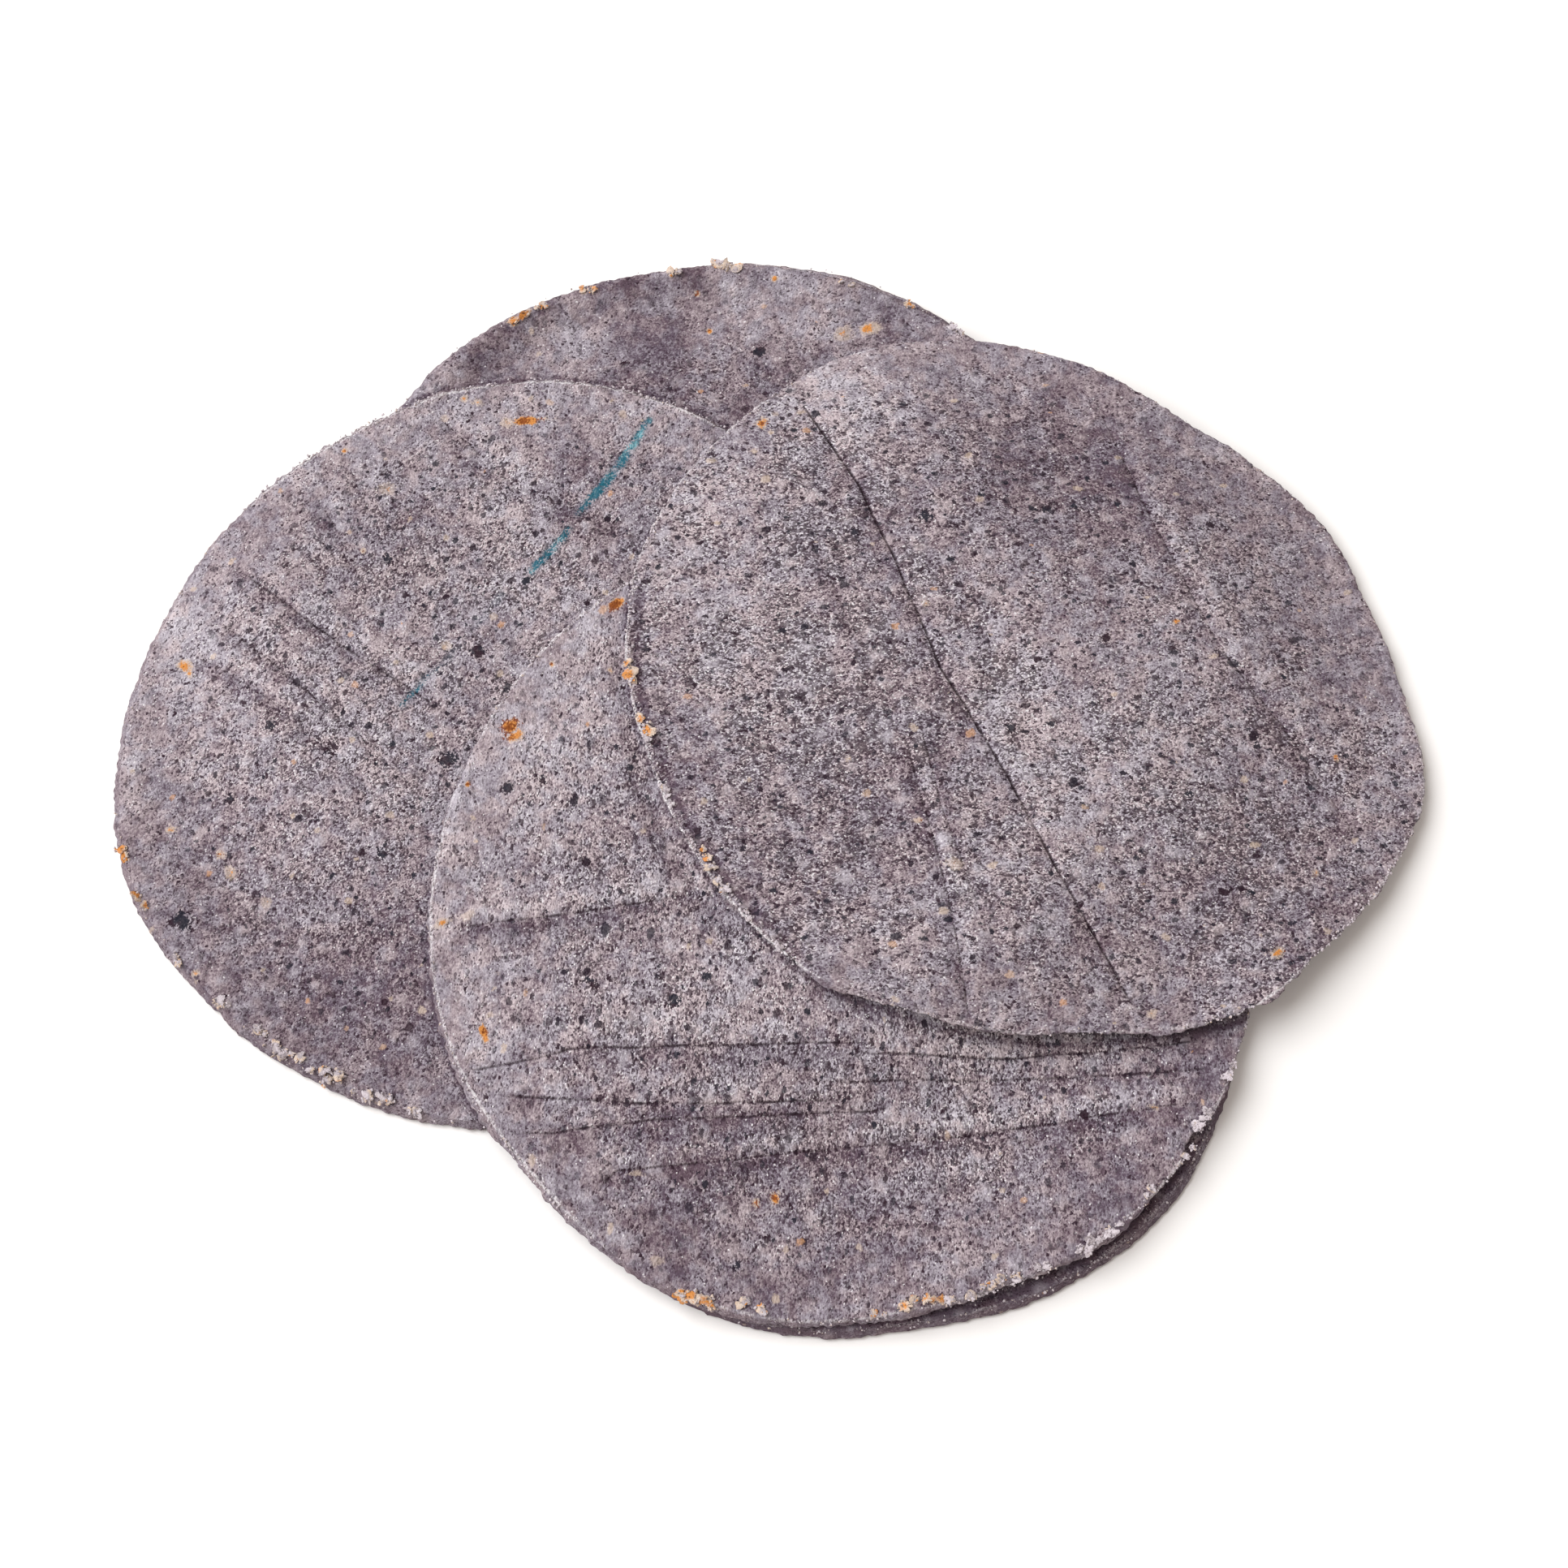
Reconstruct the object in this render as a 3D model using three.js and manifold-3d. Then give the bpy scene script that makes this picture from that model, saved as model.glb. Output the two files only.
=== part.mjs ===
// A loose stack of six blue corn tortillas, fanned out and sagging over each other on a flat surface.
// Units are millimetres, +Z is up, and z = 0 is the surface that the stack lies on.

import * as THREE from "three";
import { mergeVertices } from "three/addons/utils/BufferGeometryUtils.js";
import Module from "manifold-3d";

// Driving dimensions of every tortilla
const sheetThickness = 2.2;
const airGap = 0.45; // left between two tortillas that lie on each other
const layerPitch = sheetThickness + airGap;
const bellyHeight = 0.7; // of the widest line of the cut edge, above the underside
const rimDrop = 0.25; // how far the top surface rounds down at the rim
const leastSetBack = 0.15; // of either edge of the rim, behind the widest line
const edgeRipple = 0.22; // of the rough cut outline, either way
const ringsAcross = 12; // rings of facets from the middle of a tortilla to its rim
const crumbSink = 0.45; // share of a crumb's height that is baked into the tortilla

// The tortillas, lowest first.
// centre: where the middle lies. radii: the outline, at equal angles anticlockwise from +X.
// bend: how far past the rim of one below the tortilla takes to come down by one layer.
// slant: set-back of the top edge, as a mean and a swing that is greatest towards an angle.
// undercut: set-back of the bottom edge. curls: stretches of rim that stand up.
// humps: long low swells between the old folds. crumbs: [angle, inset, length, width, height].
const tortillas = [
  {
    name: "tortilla_back_under",
    colour: "#7f7480",
    centre: [-8.1, 34.15],
    radii: [73.6, 73.4, 73.8, 74.8, 74.8, 73.6, 73, 73, 73.6, 74.4, 75, 75, 74.8, 75, 75, 75, 74.6, 74],
    bend: 16,
    slant: { mean: 0.9, swing: 0, towards: 0 },
    undercut: 0.3,
    curls: [],
    humps: [],
    crumbs: [],
  },
  {
    name: "tortilla_back",
    colour: "#8f828b",
    centre: [-9.8, 32.45],
    radii: [76.5, 76.8, 76.5, 74.7, 73.1, 72.3, 73.1, 74, 74.6, 75, 75.2, 75.3, 75.3, 75.2, 75.3, 75.4, 75.7, 76],
    bend: 16,
    slant: { mean: 0.8, swing: 0, towards: 0 },
    undercut: 0.3,
    curls: [{ towards: 103, halfAngle: 38, fade: 12, width: 10, height: 2.2 }],
    humps: [],
    crumbs: [
      [89, 0.6, 3.8, 1.6, 1.5],
      [111, 1.2, 2.6, 1.4, 1],
      [123, 1.6, 2.4, 1.6, 1.1],
    ],
  },
  {
    name: "tortilla_left",
    colour: "#9a8f95",
    centre: [-45.5, 3.05],
    radii: [74.4, 74.4, 74.6, 75.1, 76.1, 75.3, 72.9, 73.2, 73.6, 75.1, 76.4, 74.6, 73.8, 73.8, 73.8, 74, 74.2, 74.3],
    bend: 40,
    slant: { mean: 1.1, swing: 0.2, towards: -110 },
    undercut: 0.3,
    curls: [],
    humps: [],
    crumbs: [
      [-125, 1.8, 3.4, 1.8, 1.2],
      [-121, 1.6, 2.8, 1.8, 1.3],
      [-117, 1.4, 3, 2, 1.4],
      [-112, 1.6, 2.8, 1.5, 1],
      [-156, 1, 2.2, 1.6, 1],
    ],
  },
  {
    name: "tortilla_front_under",
    colour: "#7f7480",
    centre: [14.8, -34.65],
    radii: [72.8, 74, 74.5, 74.8, 75, 75, 75, 74.8, 74.6, 74.6, 74.4, 72.9, 73.4, 74.3, 73.2, 74.6, 74.9, 72.7],
    bend: 42,
    slant: { mean: 1, swing: 0, towards: 0 },
    undercut: 0.3,
    curls: [],
    humps: [],
    crumbs: [],
  },
  {
    name: "tortilla_front",
    colour: "#958991",
    centre: [14.1, -31.35],
    radii: [74.6, 74.9, 75.3, 75.5, 75.7, 75.7, 75.5, 74.7, 74.2, 74.9, 75.8, 75, 76.5, 76.9, 75, 75.5, 75.3, 74.5],
    bend: 44,
    slant: { mean: 0.6, swing: 0.5, towards: -80 },
    undercut: 0.3,
    curls: [{ towards: -52, halfAngle: 30, fade: 14, width: 22, height: 1.2 }],
    humps: [],
    crumbs: [
      [-110, 1.4, 5.2, 2.2, 1.5],
      [-103, 1.6, 3.2, 1.6, 1],
      [-81, 1.6, 3.6, 1.8, 1.1],
      [-75, 1.2, 3.2, 1.4, 0.9],
      [-68, 1.4, 3, 1.4, 1],
      [-56, 0.8, 4, 2, 1.5],
      [-32, 1.2, 3.6, 2, 1.5],
    ],
  },
  {
    name: "tortilla_top",
    colour: "#998e95",
    centre: [45.9, 14.15],
    radii: [
      72.2, 69.4, 69.1, 66.7, 65.7, 68.8, 72.2, 74.4, 74.4, 73.2, 73.3, 73.4,
      72, 70.3, 70.2, 70.8, 71.8, 70.3, 70.5, 71.8, 76, 75.6, 76.7, 77.3,
    ],
    bend: 55,
    slant: { mean: 0, swing: 0, towards: 0 },
    undercut: 0.9,
    curls: [],
    humps: [
      { from: [8.8, 71.35], to: [72.8, -43.65], offset: 14, width: 13, height: 1.3 },
      { from: [8.8, 71.35], to: [72.8, -43.65], offset: -17, width: 13, height: 0.9 },
    ],
    crumbs: [
      [-179, 0.9, 2.4, 1.7, 1.2],
      [-170, 0.8, 2.8, 1.9, 1.4],
      [-146, 1.6, 4.2, 1.6, 1.3],
      [-141, 1, 2.2, 1.5, 1.1],
    ],
  },
];

const wasm = await Module();
wasm.setup();

// From 0 at share 0 to 1 at share 1, level at both ends.
function easeIn(share) {
  return THREE.MathUtils.smootherstep(share, 0, 1);
}

// Plan distance and angle of a point from a tortilla's middle.
function polar(tortilla, x, y) {
  const dx = x - tortilla.centre[0];
  const dy = y - tortilla.centre[1];
  return { distance: Math.hypot(dx, dy), angle: Math.atan2(dy, dx) };
}

// The smooth outline: a closed Catmull-Rom curve through the tortilla's radii.
function smoothRadius(tortilla, angle) {
  const { radii } = tortilla;
  const turn = THREE.MathUtils.euclideanModulo(angle / (2 * Math.PI), 1) * radii.length;
  const first = Math.floor(turn);
  const u = turn - first;
  const at = (step) => radii[(first + step + radii.length) % radii.length];
  const slopeIn = (at(1) - at(-1)) / 2;
  const slopeOut = (at(2) - at(0)) / 2;
  const rise = at(1) - at(0);
  return at(0) + u * (slopeIn + u * (3 * rise - 2 * slopeIn - slopeOut + u * (slopeIn + slopeOut - 2 * rise)));
}

// The rough cut edge ripples about the smooth outline.
function ripple(tortilla, angle) {
  const phase = tortillas.indexOf(tortilla);
  return (edgeRipple / 2) * (Math.sin(17 * angle + phase) + Math.sin(26 * angle + 2 * phase));
}

// How much of a stretch of rim, centred on an angle, holds at another angle: 1 within it and 0 well past it.
function stretchShare(curl, angle) {
  const off = THREE.MathUtils.radToDeg(angle) - curl.towards;
  const away = Math.abs(THREE.MathUtils.euclideanModulo(off + 180, 360) - 180);
  return 1 - easeIn((away - curl.halfAngle + curl.fade) / (2 * curl.fade));
}

// How far a tortilla's own curls and humps raise it, never below nought.
function ownLift(tortilla, x, y) {
  const { distance, angle } = polar(tortilla, x, y);
  const inward = smoothRadius(tortilla, angle) - distance;
  let lift = 0;
  for (const curl of tortilla.curls)
    lift += curl.height * easeIn(1 - inward / curl.width) * stretchShare(curl, angle);
  for (const hump of tortilla.humps) {
    const along = new THREE.Vector2(...hump.to).sub(new THREE.Vector2(...hump.from)).normalize();
    const across = (x - hump.from[0]) * -along.y + (y - hump.from[1]) * along.x;
    lift += hump.height * Math.exp(-(((across - hump.offset) / hump.width) ** 2));
  }
  return lift;
}

// Height of a tortilla's underside: it lies on each one below it, and comes down smoothly past that one's rim.
function undersideHeight(index, x, y) {
  const tortilla = tortillas[index];
  let height = ownLift(tortilla, x, y);
  for (const lower of tortillas.slice(0, index)) {
    const { distance, angle } = polar(lower, x, y);
    const past = distance - smoothRadius(lower, angle);
    height += (layerPitch + ownLift(lower, x, y)) * (1 - easeIn(past / tortilla.bend));
  }
  return height;
}

// One ring of points round a tortilla. share runs from 0 at its middle to 1 at the rim,
// setBack(angle) is how far the rim stands behind the widest line, and rise is the height above the underside.
function ring(index, share, setBack, rise) {
  const tortilla = tortillas[index];
  const count = Math.max(1, Math.round(share * ringsAcross) * 6);
  const points = [];
  for (let step = 0; step < count; step++) {
    const angle = (2 * Math.PI * step) / count;
    const rim = smoothRadius(tortilla, angle) + ripple(tortilla, angle) - setBack(angle);
    const x = tortilla.centre[0] + share * rim * Math.cos(angle);
    const y = tortilla.centre[1] + share * rim * Math.sin(angle);
    points.push([x, y, undersideHeight(index, x, y) + rise]);
  }
  return points;
}

// The rings of a whole tortilla: out over its top, round its rim and back to the middle of its underside.
function sheetRings(index) {
  const { slant, undercut } = tortillas[index];
  const towards = THREE.MathUtils.degToRad(slant.towards);
  const topSetBack = (angle) => Math.max(leastSetBack, slant.mean + slant.swing * Math.cos(angle - towards));
  const shares = Array.from({ length: ringsAcross + 1 }, (_, step) => step / ringsAcross);
  const top = shares.map((share) => ring(index, share, topSetBack, sheetThickness - (share === 1 ? rimDrop : 0)));
  const belly = ring(index, 1, () => 0, bellyHeight);
  const bottom = shares.map((share) => ring(index, share, () => undercut, 0)).reverse();
  return [...top, belly, ...bottom];
}

// Fills the band between two rings, whatever the number of points in each.
function stitch(upper, upperStart, lower, lowerStart, triangles) {
  const upperSteps = upper.length > 1 ? upper.length : 0;
  const lowerSteps = lower.length > 1 ? lower.length : 0;
  let u = 0;
  let l = 0;
  while (u < upperSteps || l < lowerSteps) {
    const upperPoint = upperStart + (u % upper.length);
    const lowerPoint = lowerStart + (l % lower.length);
    const lowerIsNext = u >= upperSteps || (l < lowerSteps && (l + 0.5) / lowerSteps <= (u + 0.5) / upperSteps);
    if (lowerIsNext) {
      l += 1;
      triangles.push(lowerPoint, lowerStart + (l % lower.length), upperPoint);
    } else {
      u += 1;
      triangles.push(upperPoint, lowerPoint, upperStart + (u % upper.length));
    }
  }
}

// A closed manifold solid from a list of rings that starts and ends with a single point.
function solidFromRings(rings) {
  const triangles = [];
  let start = 0;
  for (let k = 1; k < rings.length; k++) {
    const next = start + rings[k - 1].length;
    stitch(rings[k - 1], start, rings[k], next, triangles);
    start = next;
  }
  return new wasm.Manifold(
    new wasm.Mesh({
      numProp: 3,
      vertProperties: new Float32Array(rings.flat(2)),
      triVerts: new Uint32Array(triangles),
    }),
  );
}

// A crumb: a lumpy pebble on the top of the rim, its length along the rim, partly baked in.
function crumbSolid(index, [angleDegrees, inset, length, width, height]) {
  const tortilla = tortillas[index];
  const angle = THREE.MathUtils.degToRad(angleDegrees);
  const distance = smoothRadius(tortilla, angle) - inset;
  const x = tortilla.centre[0] + distance * Math.cos(angle);
  const y = tortilla.centre[1] + distance * Math.sin(angle);
  const z = undersideHeight(index, x, y) + sheetThickness + height * (0.5 - crumbSink);
  const shape = new THREE.IcosahedronGeometry(0.5, 0);
  shape.deleteAttribute("normal");
  shape.deleteAttribute("uv");
  const closed = mergeVertices(shape, 1e-4);
  closed.scale(width, length, height).rotateZ(angle).translate(x, y, z);
  return new wasm.Manifold(
    new wasm.Mesh({
      numProp: 3,
      vertProperties: closed.attributes.position.array,
      triVerts: new Uint32Array(closed.index.array),
    }),
  );
}

function geometryOf(solid) {
  const mesh = solid.getMesh();
  const geometry = new THREE.BufferGeometry();
  geometry.setAttribute("position", new THREE.BufferAttribute(mesh.vertProperties, 3));
  geometry.setIndex(new THREE.BufferAttribute(mesh.triVerts, 1));
  geometry.computeVertexNormals();
  return geometry;
}

function tortillaMesh(tortilla, index) {
  const crumbs = tortilla.crumbs.map((crumb) => crumbSolid(index, crumb));
  const solid = crumbs.reduce((whole, crumb) => whole.add(crumb), solidFromRings(sheetRings(index)));
  const material = new THREE.MeshStandardMaterial({ color: tortilla.colour, roughness: 0.9, metalness: 0 });
  const mesh = new THREE.Mesh(geometryOf(solid), material);
  mesh.name = tortilla.name;
  return mesh;
}

const stack = new THREE.Group();
stack.add(...tortillas.map(tortillaMesh));

export default stack;
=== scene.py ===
"""Dresses a loose stack of six blue corn tortillas: baked dough, rim crumbs, a pale floor and soft light."""

import math

import bmesh
import bpy
import numpy as np
from bpy.props import FloatProperty, FloatVectorProperty, IntProperty, PointerProperty
from bpy.types import Operator, Panel, PropertyGroup
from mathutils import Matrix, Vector


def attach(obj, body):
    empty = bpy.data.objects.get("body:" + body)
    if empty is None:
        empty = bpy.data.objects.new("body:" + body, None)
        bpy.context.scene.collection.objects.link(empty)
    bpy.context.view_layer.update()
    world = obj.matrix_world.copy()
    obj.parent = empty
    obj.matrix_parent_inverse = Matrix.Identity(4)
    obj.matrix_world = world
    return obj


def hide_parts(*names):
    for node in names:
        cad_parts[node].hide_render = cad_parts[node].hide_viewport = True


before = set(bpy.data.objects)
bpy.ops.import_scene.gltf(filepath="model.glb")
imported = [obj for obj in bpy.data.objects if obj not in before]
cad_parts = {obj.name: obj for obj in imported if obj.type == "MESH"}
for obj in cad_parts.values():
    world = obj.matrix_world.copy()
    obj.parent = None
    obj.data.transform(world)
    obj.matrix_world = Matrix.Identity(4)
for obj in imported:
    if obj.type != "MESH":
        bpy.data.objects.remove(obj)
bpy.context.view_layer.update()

bl_info = {
    "name": "Blue corn tortilla stack",
    "version": (1, 0, 0),
    "blender": (4, 5, 0),
    "location": "View3D > Sidebar > Tortillas",
    "description": "Builds a fanned stack of baked blue corn tortillas with crumbs on their rims",
    "category": "Add Mesh",
}

MM = 0.001
TURN = 2 * math.pi

# Seeds of the random draws, one for each use. A tortilla adds its own number to them.
SEEDS = {
    "relief": 100,
    "folds": 200,
    "domes": 300,
    "pits": 400,
    "side": 500,
    "underside": 600,
    "rim": 700,
    "crumbs": 900,
}

# Lengths on the tortillas, in millimetres.
MEAN_RADIUS = 75
LIP_INSET = 0.2
LIP_WIDTH = 0.24
ROUNDING_WIDTH = 0.45
GROOVE_INSET = 1.9
GROOVE_WIDTH = 1.0
SIDE_UNEVENNESS = 0.16
UNDERSIDE_UNEVENNESS = 0.1
COVERED_EDGE = 4

# Rings of points over a fully shown tortilla, and the insets of the finer rings near its rim, in millimetres.
RINGS_ON_TOP = 126
RINGS_BELOW = 30
POINTS_ROUND_RIM = 1500
RIM_ZONE = 6.0
RIM_INSETS = (5.3, 4.6, 4.0, 3.4, 2.9, 2.4, 2.0, 1.6, 1.25, 0.95, 0.65, 0.4, 0.2, 0.0)
SIDE_STEPS = (0.2, 0.42, 0.64, 0.85)
UNDER_STEPS = (0.4, 0.75)
LOWER_INSETS = (0.0, 0.8, 2.5, 5.0)

# Squares after which the scattered domes and pits repeat, and the size of one that is left out.
DOME_CELLS = 128
NO_DOME = 1e-6

# Folds whose distances one three-number attribute holds, and how far across a fold they are told apart.
FOLDS_IN_ATTRIBUTE = 3
FOLD_REACH = 6.0

# Least and most inset from the rim that a mesh keeps for its material.
INSETS_KEPT = (-2, 30)

# Painted shade where a tortilla meets the one over it: its width, how far it shifts out at the back, and how
# dark it is. Then how dark the painted shade in the groove inside a crumbly rim is.
CONTACT_WIDTH = 0.55
CONTACT_SHIFT = 1.1
CONTACT_PAINTED_SHADE = 1.6
GROOVE_PAINTED_SHADE = 6.0

# How far the grain of the side runs on past the rim for each millimetre of its height.
SIDE_GRAIN = 1.3

# Half width of the teal smear.
SMEAR_WIDTH = 1.7

# Heat, stretch and turn of a spot that doesn't give them.
PLAIN_SPOT = (1.0, 1.0, 0.0)

# Corners of a flake's torn outline, flakes on each square millimetre of a crumb, and chips about each flake.
FLAKE_CORNERS = 13
FLAKES_ON_MM2 = 0.5
CHIPS_ON_FLAKE = 9

# Waves or grains of the meal in a metre.
FINE_MEAL = 1900.0
COARSE_MEAL = 330.0
LUMPY_MEAL = 120.0
PATCHY_MEAL = 40.0
TINY_GRAINS = 4300.0
SMALL_GRAINS = 2300.0

# Bits in the dough: their spacing in metres, the share of places that hold one, the radius as a share of the
# spacing, and how soft the edge is.
BITS = {
    "big kernel": (0.0046, 0.5, 0.42, 0.8),
    "small kernel": (0.0021, 0.6, 0.42, 0.8),
    "smudge": (0.0095, 0.4, 0.17, 0.9),
    "small husk": (0.0016, 0.4, 0.22, 0.12),
    "middling husk": (0.0032, 0.55, 0.18, 0.12),
    "large husk": (0.009, 0.45, 0.09, 0.12),
    "kernel tip": (0.0075, 0.3, 0.12, 0.5),
}
HUSK_STRENGTHS = {"smudge": 0.5, "small husk": 0.95, "middling husk": 0.95, "large husk": 0.97}

# What the dough's colour is multiplied by where it leans to blue-grey and where it leans to cream.
COOL_TINT = (0.96, 1.0, 1.03)
WARM_TINT = (1.04, 0.995, 0.965)

# Half width of the line of painted shade along a fold, in millimetres.
CREASE_WIDTH = 0.34

# Height of the bumps of dough and of crumbs, in metres, and the strength of the dough's faint gloss.
DOUGH_BUMP = 0.00042
CRUMB_BUMP = 0.0002
DOUGH_GLOSS = 0.18

# The floor, in metres, and its finish.
FLOOR_HALF = 8.0
FLOOR_DROP = 0.0001
FLOOR_ROUGHNESS = 0.9
FLOOR_GLOSS = 0.1

# The way to the key light, and the colours of the key light and the even light.
KEY_FROM = (-0.66, 0.14, 0.74)
KEY_COLOUR = (0.935, 0.97, 1.0)
FILL_COLOUR = (1.0, 0.925, 0.87)

# The point that the camera looks at and the nearest and furthest that it sees, in metres, and its sensor.
VIEW_MIDDLE = (0.0028, -0.00305, 0.0)
NEAREST_SEEN = 0.01
FURTHEST_SEEN = 20.0
SENSOR_MM = 36.0


def length_setting(name, description, default):
    """A length that a user can change, in metres."""
    return FloatProperty(name=name, description=description, default=default, unit="LENGTH")


def angle_setting(name, description, degrees):
    """An angle that a user can change."""
    return FloatProperty(name=name, description=description, default=math.radians(degrees), subtype="ANGLE")


def number_setting(name, description, default):
    """A plain number that a user can change."""
    return FloatProperty(name=name, description=description, default=default)


def colour_setting(name, description, default):
    """A colour that a user can change."""
    return FloatVectorProperty(name=name, description=description, default=default, subtype="COLOR")


class StackSizes(PropertyGroup):
    """Sizes that all tortillas of the stack share."""

    thickness: length_setting("Thickness", "Thickness of each tortilla", 0.0022)
    air_gap: length_setting("Air gap", "Gap left between two tortillas that lie on each other", 0.00045)
    belly: length_setting("Belly height", "Height of the cut edge's widest line above the underside", 0.0007)
    rim_drop: length_setting("Rim drop", "How far the top rounds down at the rim", 0.00025)
    least_set_back: length_setting(
        "Least set-back", "Least set-back of the rim's top edge behind its widest line", 0.00015
    )
    ripple: length_setting("Edge ripple", "Slow ripple of the cut outline, either way", 0.00014)
    ragged: length_setting("Edge raggedness", "Depth of the torn teeth along the cut outline", 0.00024)
    swell: length_setting("Swell height", "Height of the broad swells that puffing left", 0.00022)
    lump: length_setting("Lump height", "Height of the small lumps of dough", 0.00015)
    pit: length_setting("Pit depth", "Depth of the pits where steam broke through", 0.00022)


class DoughColours(PropertyGroup):
    """Colours of the baked dough."""

    dough: colour_setting("Dough", "Main colour of the baked blue corn dough", (0.315, 0.262, 0.293))
    # Pale and dusky dough are also the ends that the painted light and painted shade of the blooms, folds,
    # groove and contact lines push the dough's tone towards.
    pale_dough: colour_setting("Pale dough", "Colour of the dry, floury clouds", (0.56, 0.49, 0.52))
    dusky_dough: colour_setting("Dusky dough", "Colour of the moist, darker patches", (0.105, 0.07, 0.093))
    grain_shadow: colour_setting("Grain shadow", "Colour between the grains of meal", (0.034, 0.016, 0.026))
    plum_fleck: colour_setting("Plum fleck", "Colour of the purple-black bits of husk", (0.024, 0.008, 0.016))
    navy_fleck: colour_setting("Navy fleck", "Colour of the blue-grey bits of husk", (0.014, 0.015, 0.025))
    cream: colour_setting("Cream", "Colour of the pale bits of kernel", (0.6, 0.47, 0.38))
    toasted: colour_setting("Toasted", "Colour of the toasted kernel tips", (0.6, 0.23, 0.045))
    scorched: colour_setting("Scorched", "Colour of the darkest toasted spots", (0.2, 0.045, 0.008))
    teal: colour_setting("Teal", "Colour of the smear where the corn's blue shows", (0.012, 0.115, 0.165))
    pale_teal: colour_setting("Pale teal", "Colour of the palest grains of the smear", (0.19, 0.43, 0.48))
    # Glint also colours the painted highlights on the meal and on the crumbs, and the pale line along a rim.
    glint: colour_setting("Glint", "Colour of the bright grains of flour", (0.72, 0.68, 0.69))
    cut_side: colour_setting("Cut side", "Colour of the upright cut edge", (0.17, 0.125, 0.145))
    dry_crumb: colour_setting("Dry crumb", "Colour of the driest crumbs on the rim", (0.38, 0.325, 0.345))


class CrumbSettings(PropertyGroup):
    """Crumbs and grit on the rims."""

    crumb_size: length_setting("Crumb size", "Size of one lump of a crumb", 0.0018)
    grit_size: length_setting("Grit size", "Size of one grain of the grit along a rim", 0.00042)
    grit_count: IntProperty(
        name="Grit count", description="Grains of grit along each rim", default=1100, min=0
    )


class StageSettings(PropertyGroup):
    """Floor, light and camera."""

    floor_colour: colour_setting("Floor", "Colour of the plain floor", (0.93, 0.903, 0.88))
    key_strength: number_setting(
        "Key light", "Strength of the large soft light, in watts a square metre", 3.55
    )
    key_spread: angle_setting("Key spread", "How wide the soft light looks from the stack", 62)
    fill_strength: number_setting("Fill light", "Strength of the even light from all round", 0.52)
    camera_tilt: angle_setting("Camera tilt", "Angle of the camera above the floor", 66)
    camera_distance: length_setting("Camera distance", "Distance of the camera from what it looks at", 0.7)
    lens: number_setting("Lens", "Focal length of the camera, in millimetres", 86.957)


class Fold:
    """A crease or ridge pressed into a tortilla, along a path of plan points in millimetres.

    Its valley has a depth and a width. Its shoulder has a height, a side (1 is the left) and a reach. It also
    has the strength of the painted shade along its line, and of the painted light on its shoulder's side and
    the painted shade on its other side. All of them fade towards its ends.
    """

    def __init__(
        self, path, depth, width=0.8, shoulder=0.0, side=1, reach=4.0, dark=1.0, fade=8.0, stain=0.5
    ):
        self.path = np.array(path, float)
        self.depth = depth
        self.width = width
        self.shoulder = shoulder
        self.side = side
        self.reach = reach
        self.dark = dark
        self.fade = fade
        self.stain = stain


class Tortilla:
    """One tortilla of the stack, in millimetres and degrees.

    Its centre, radii, bend, undercut, curls and humps are those of its solid. The radii go round from +X. It
    comes down past the rim of a lower tortilla over the length of the bend.
    """

    undercut = 0.3
    # Middle, half width, fade and width of a stretch of rim that curls up, and how high.
    curls = ()
    # Start, end, offset, width and height of a long hump beside a line.
    humps = ()
    folds = ()
    # Set-back of the rim's top edge and overhang of its side: mean, swing, and the angle of the greatest.
    set_back = (0, 0, 0)
    overhang = (0, 0, 0)
    # x, y, radius, heat, stretch and turn of a toasted spot, and x, y and radius of a large bit of husk.
    toasted = ()
    husks = ()
    # x, y and strength of the points along each stroke of the teal smear.
    streak = ()
    # x, y, radius and strength of a paler area of floury dough and painted light, or of a darker one of moist
    # dough and painted shade where the strength is below 0.
    blooms = ()
    # Middle, half width, fade and paleness of a stretch of rim.
    pale_rims = ()
    # Angle, half width and depth of a torn place of the rim, or of a bulge where the depth is above 0.
    nicks = ()
    # Angle, inset, length, width, height and warmth of a crumb.
    crumbs = ()
    # Heights of the lip along the rim and of the groove just inside it.
    lip = 0.12
    groove = 0.0
    # Way and stretch of the grain, how rough and gritty the dough is, and the share of mesh points it needs.
    grain_turn = 0.0
    grain_stretch = 1.0
    roughness = 1.0
    grit = 1.0
    fineness = 1.0

    def __init__(self, name, centre, radii, bend, **details):
        self.name = name
        self.slot = name.removeprefix("tortilla_")
        self.centre = centre
        self.radii = np.array(radii, float)
        self.bend = bend
        vars(self).update(details)

    def noise(self, use):
        """This tortilla's own noise for one use."""
        return PlanNoise(SEEDS[use] + self.number)


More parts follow.
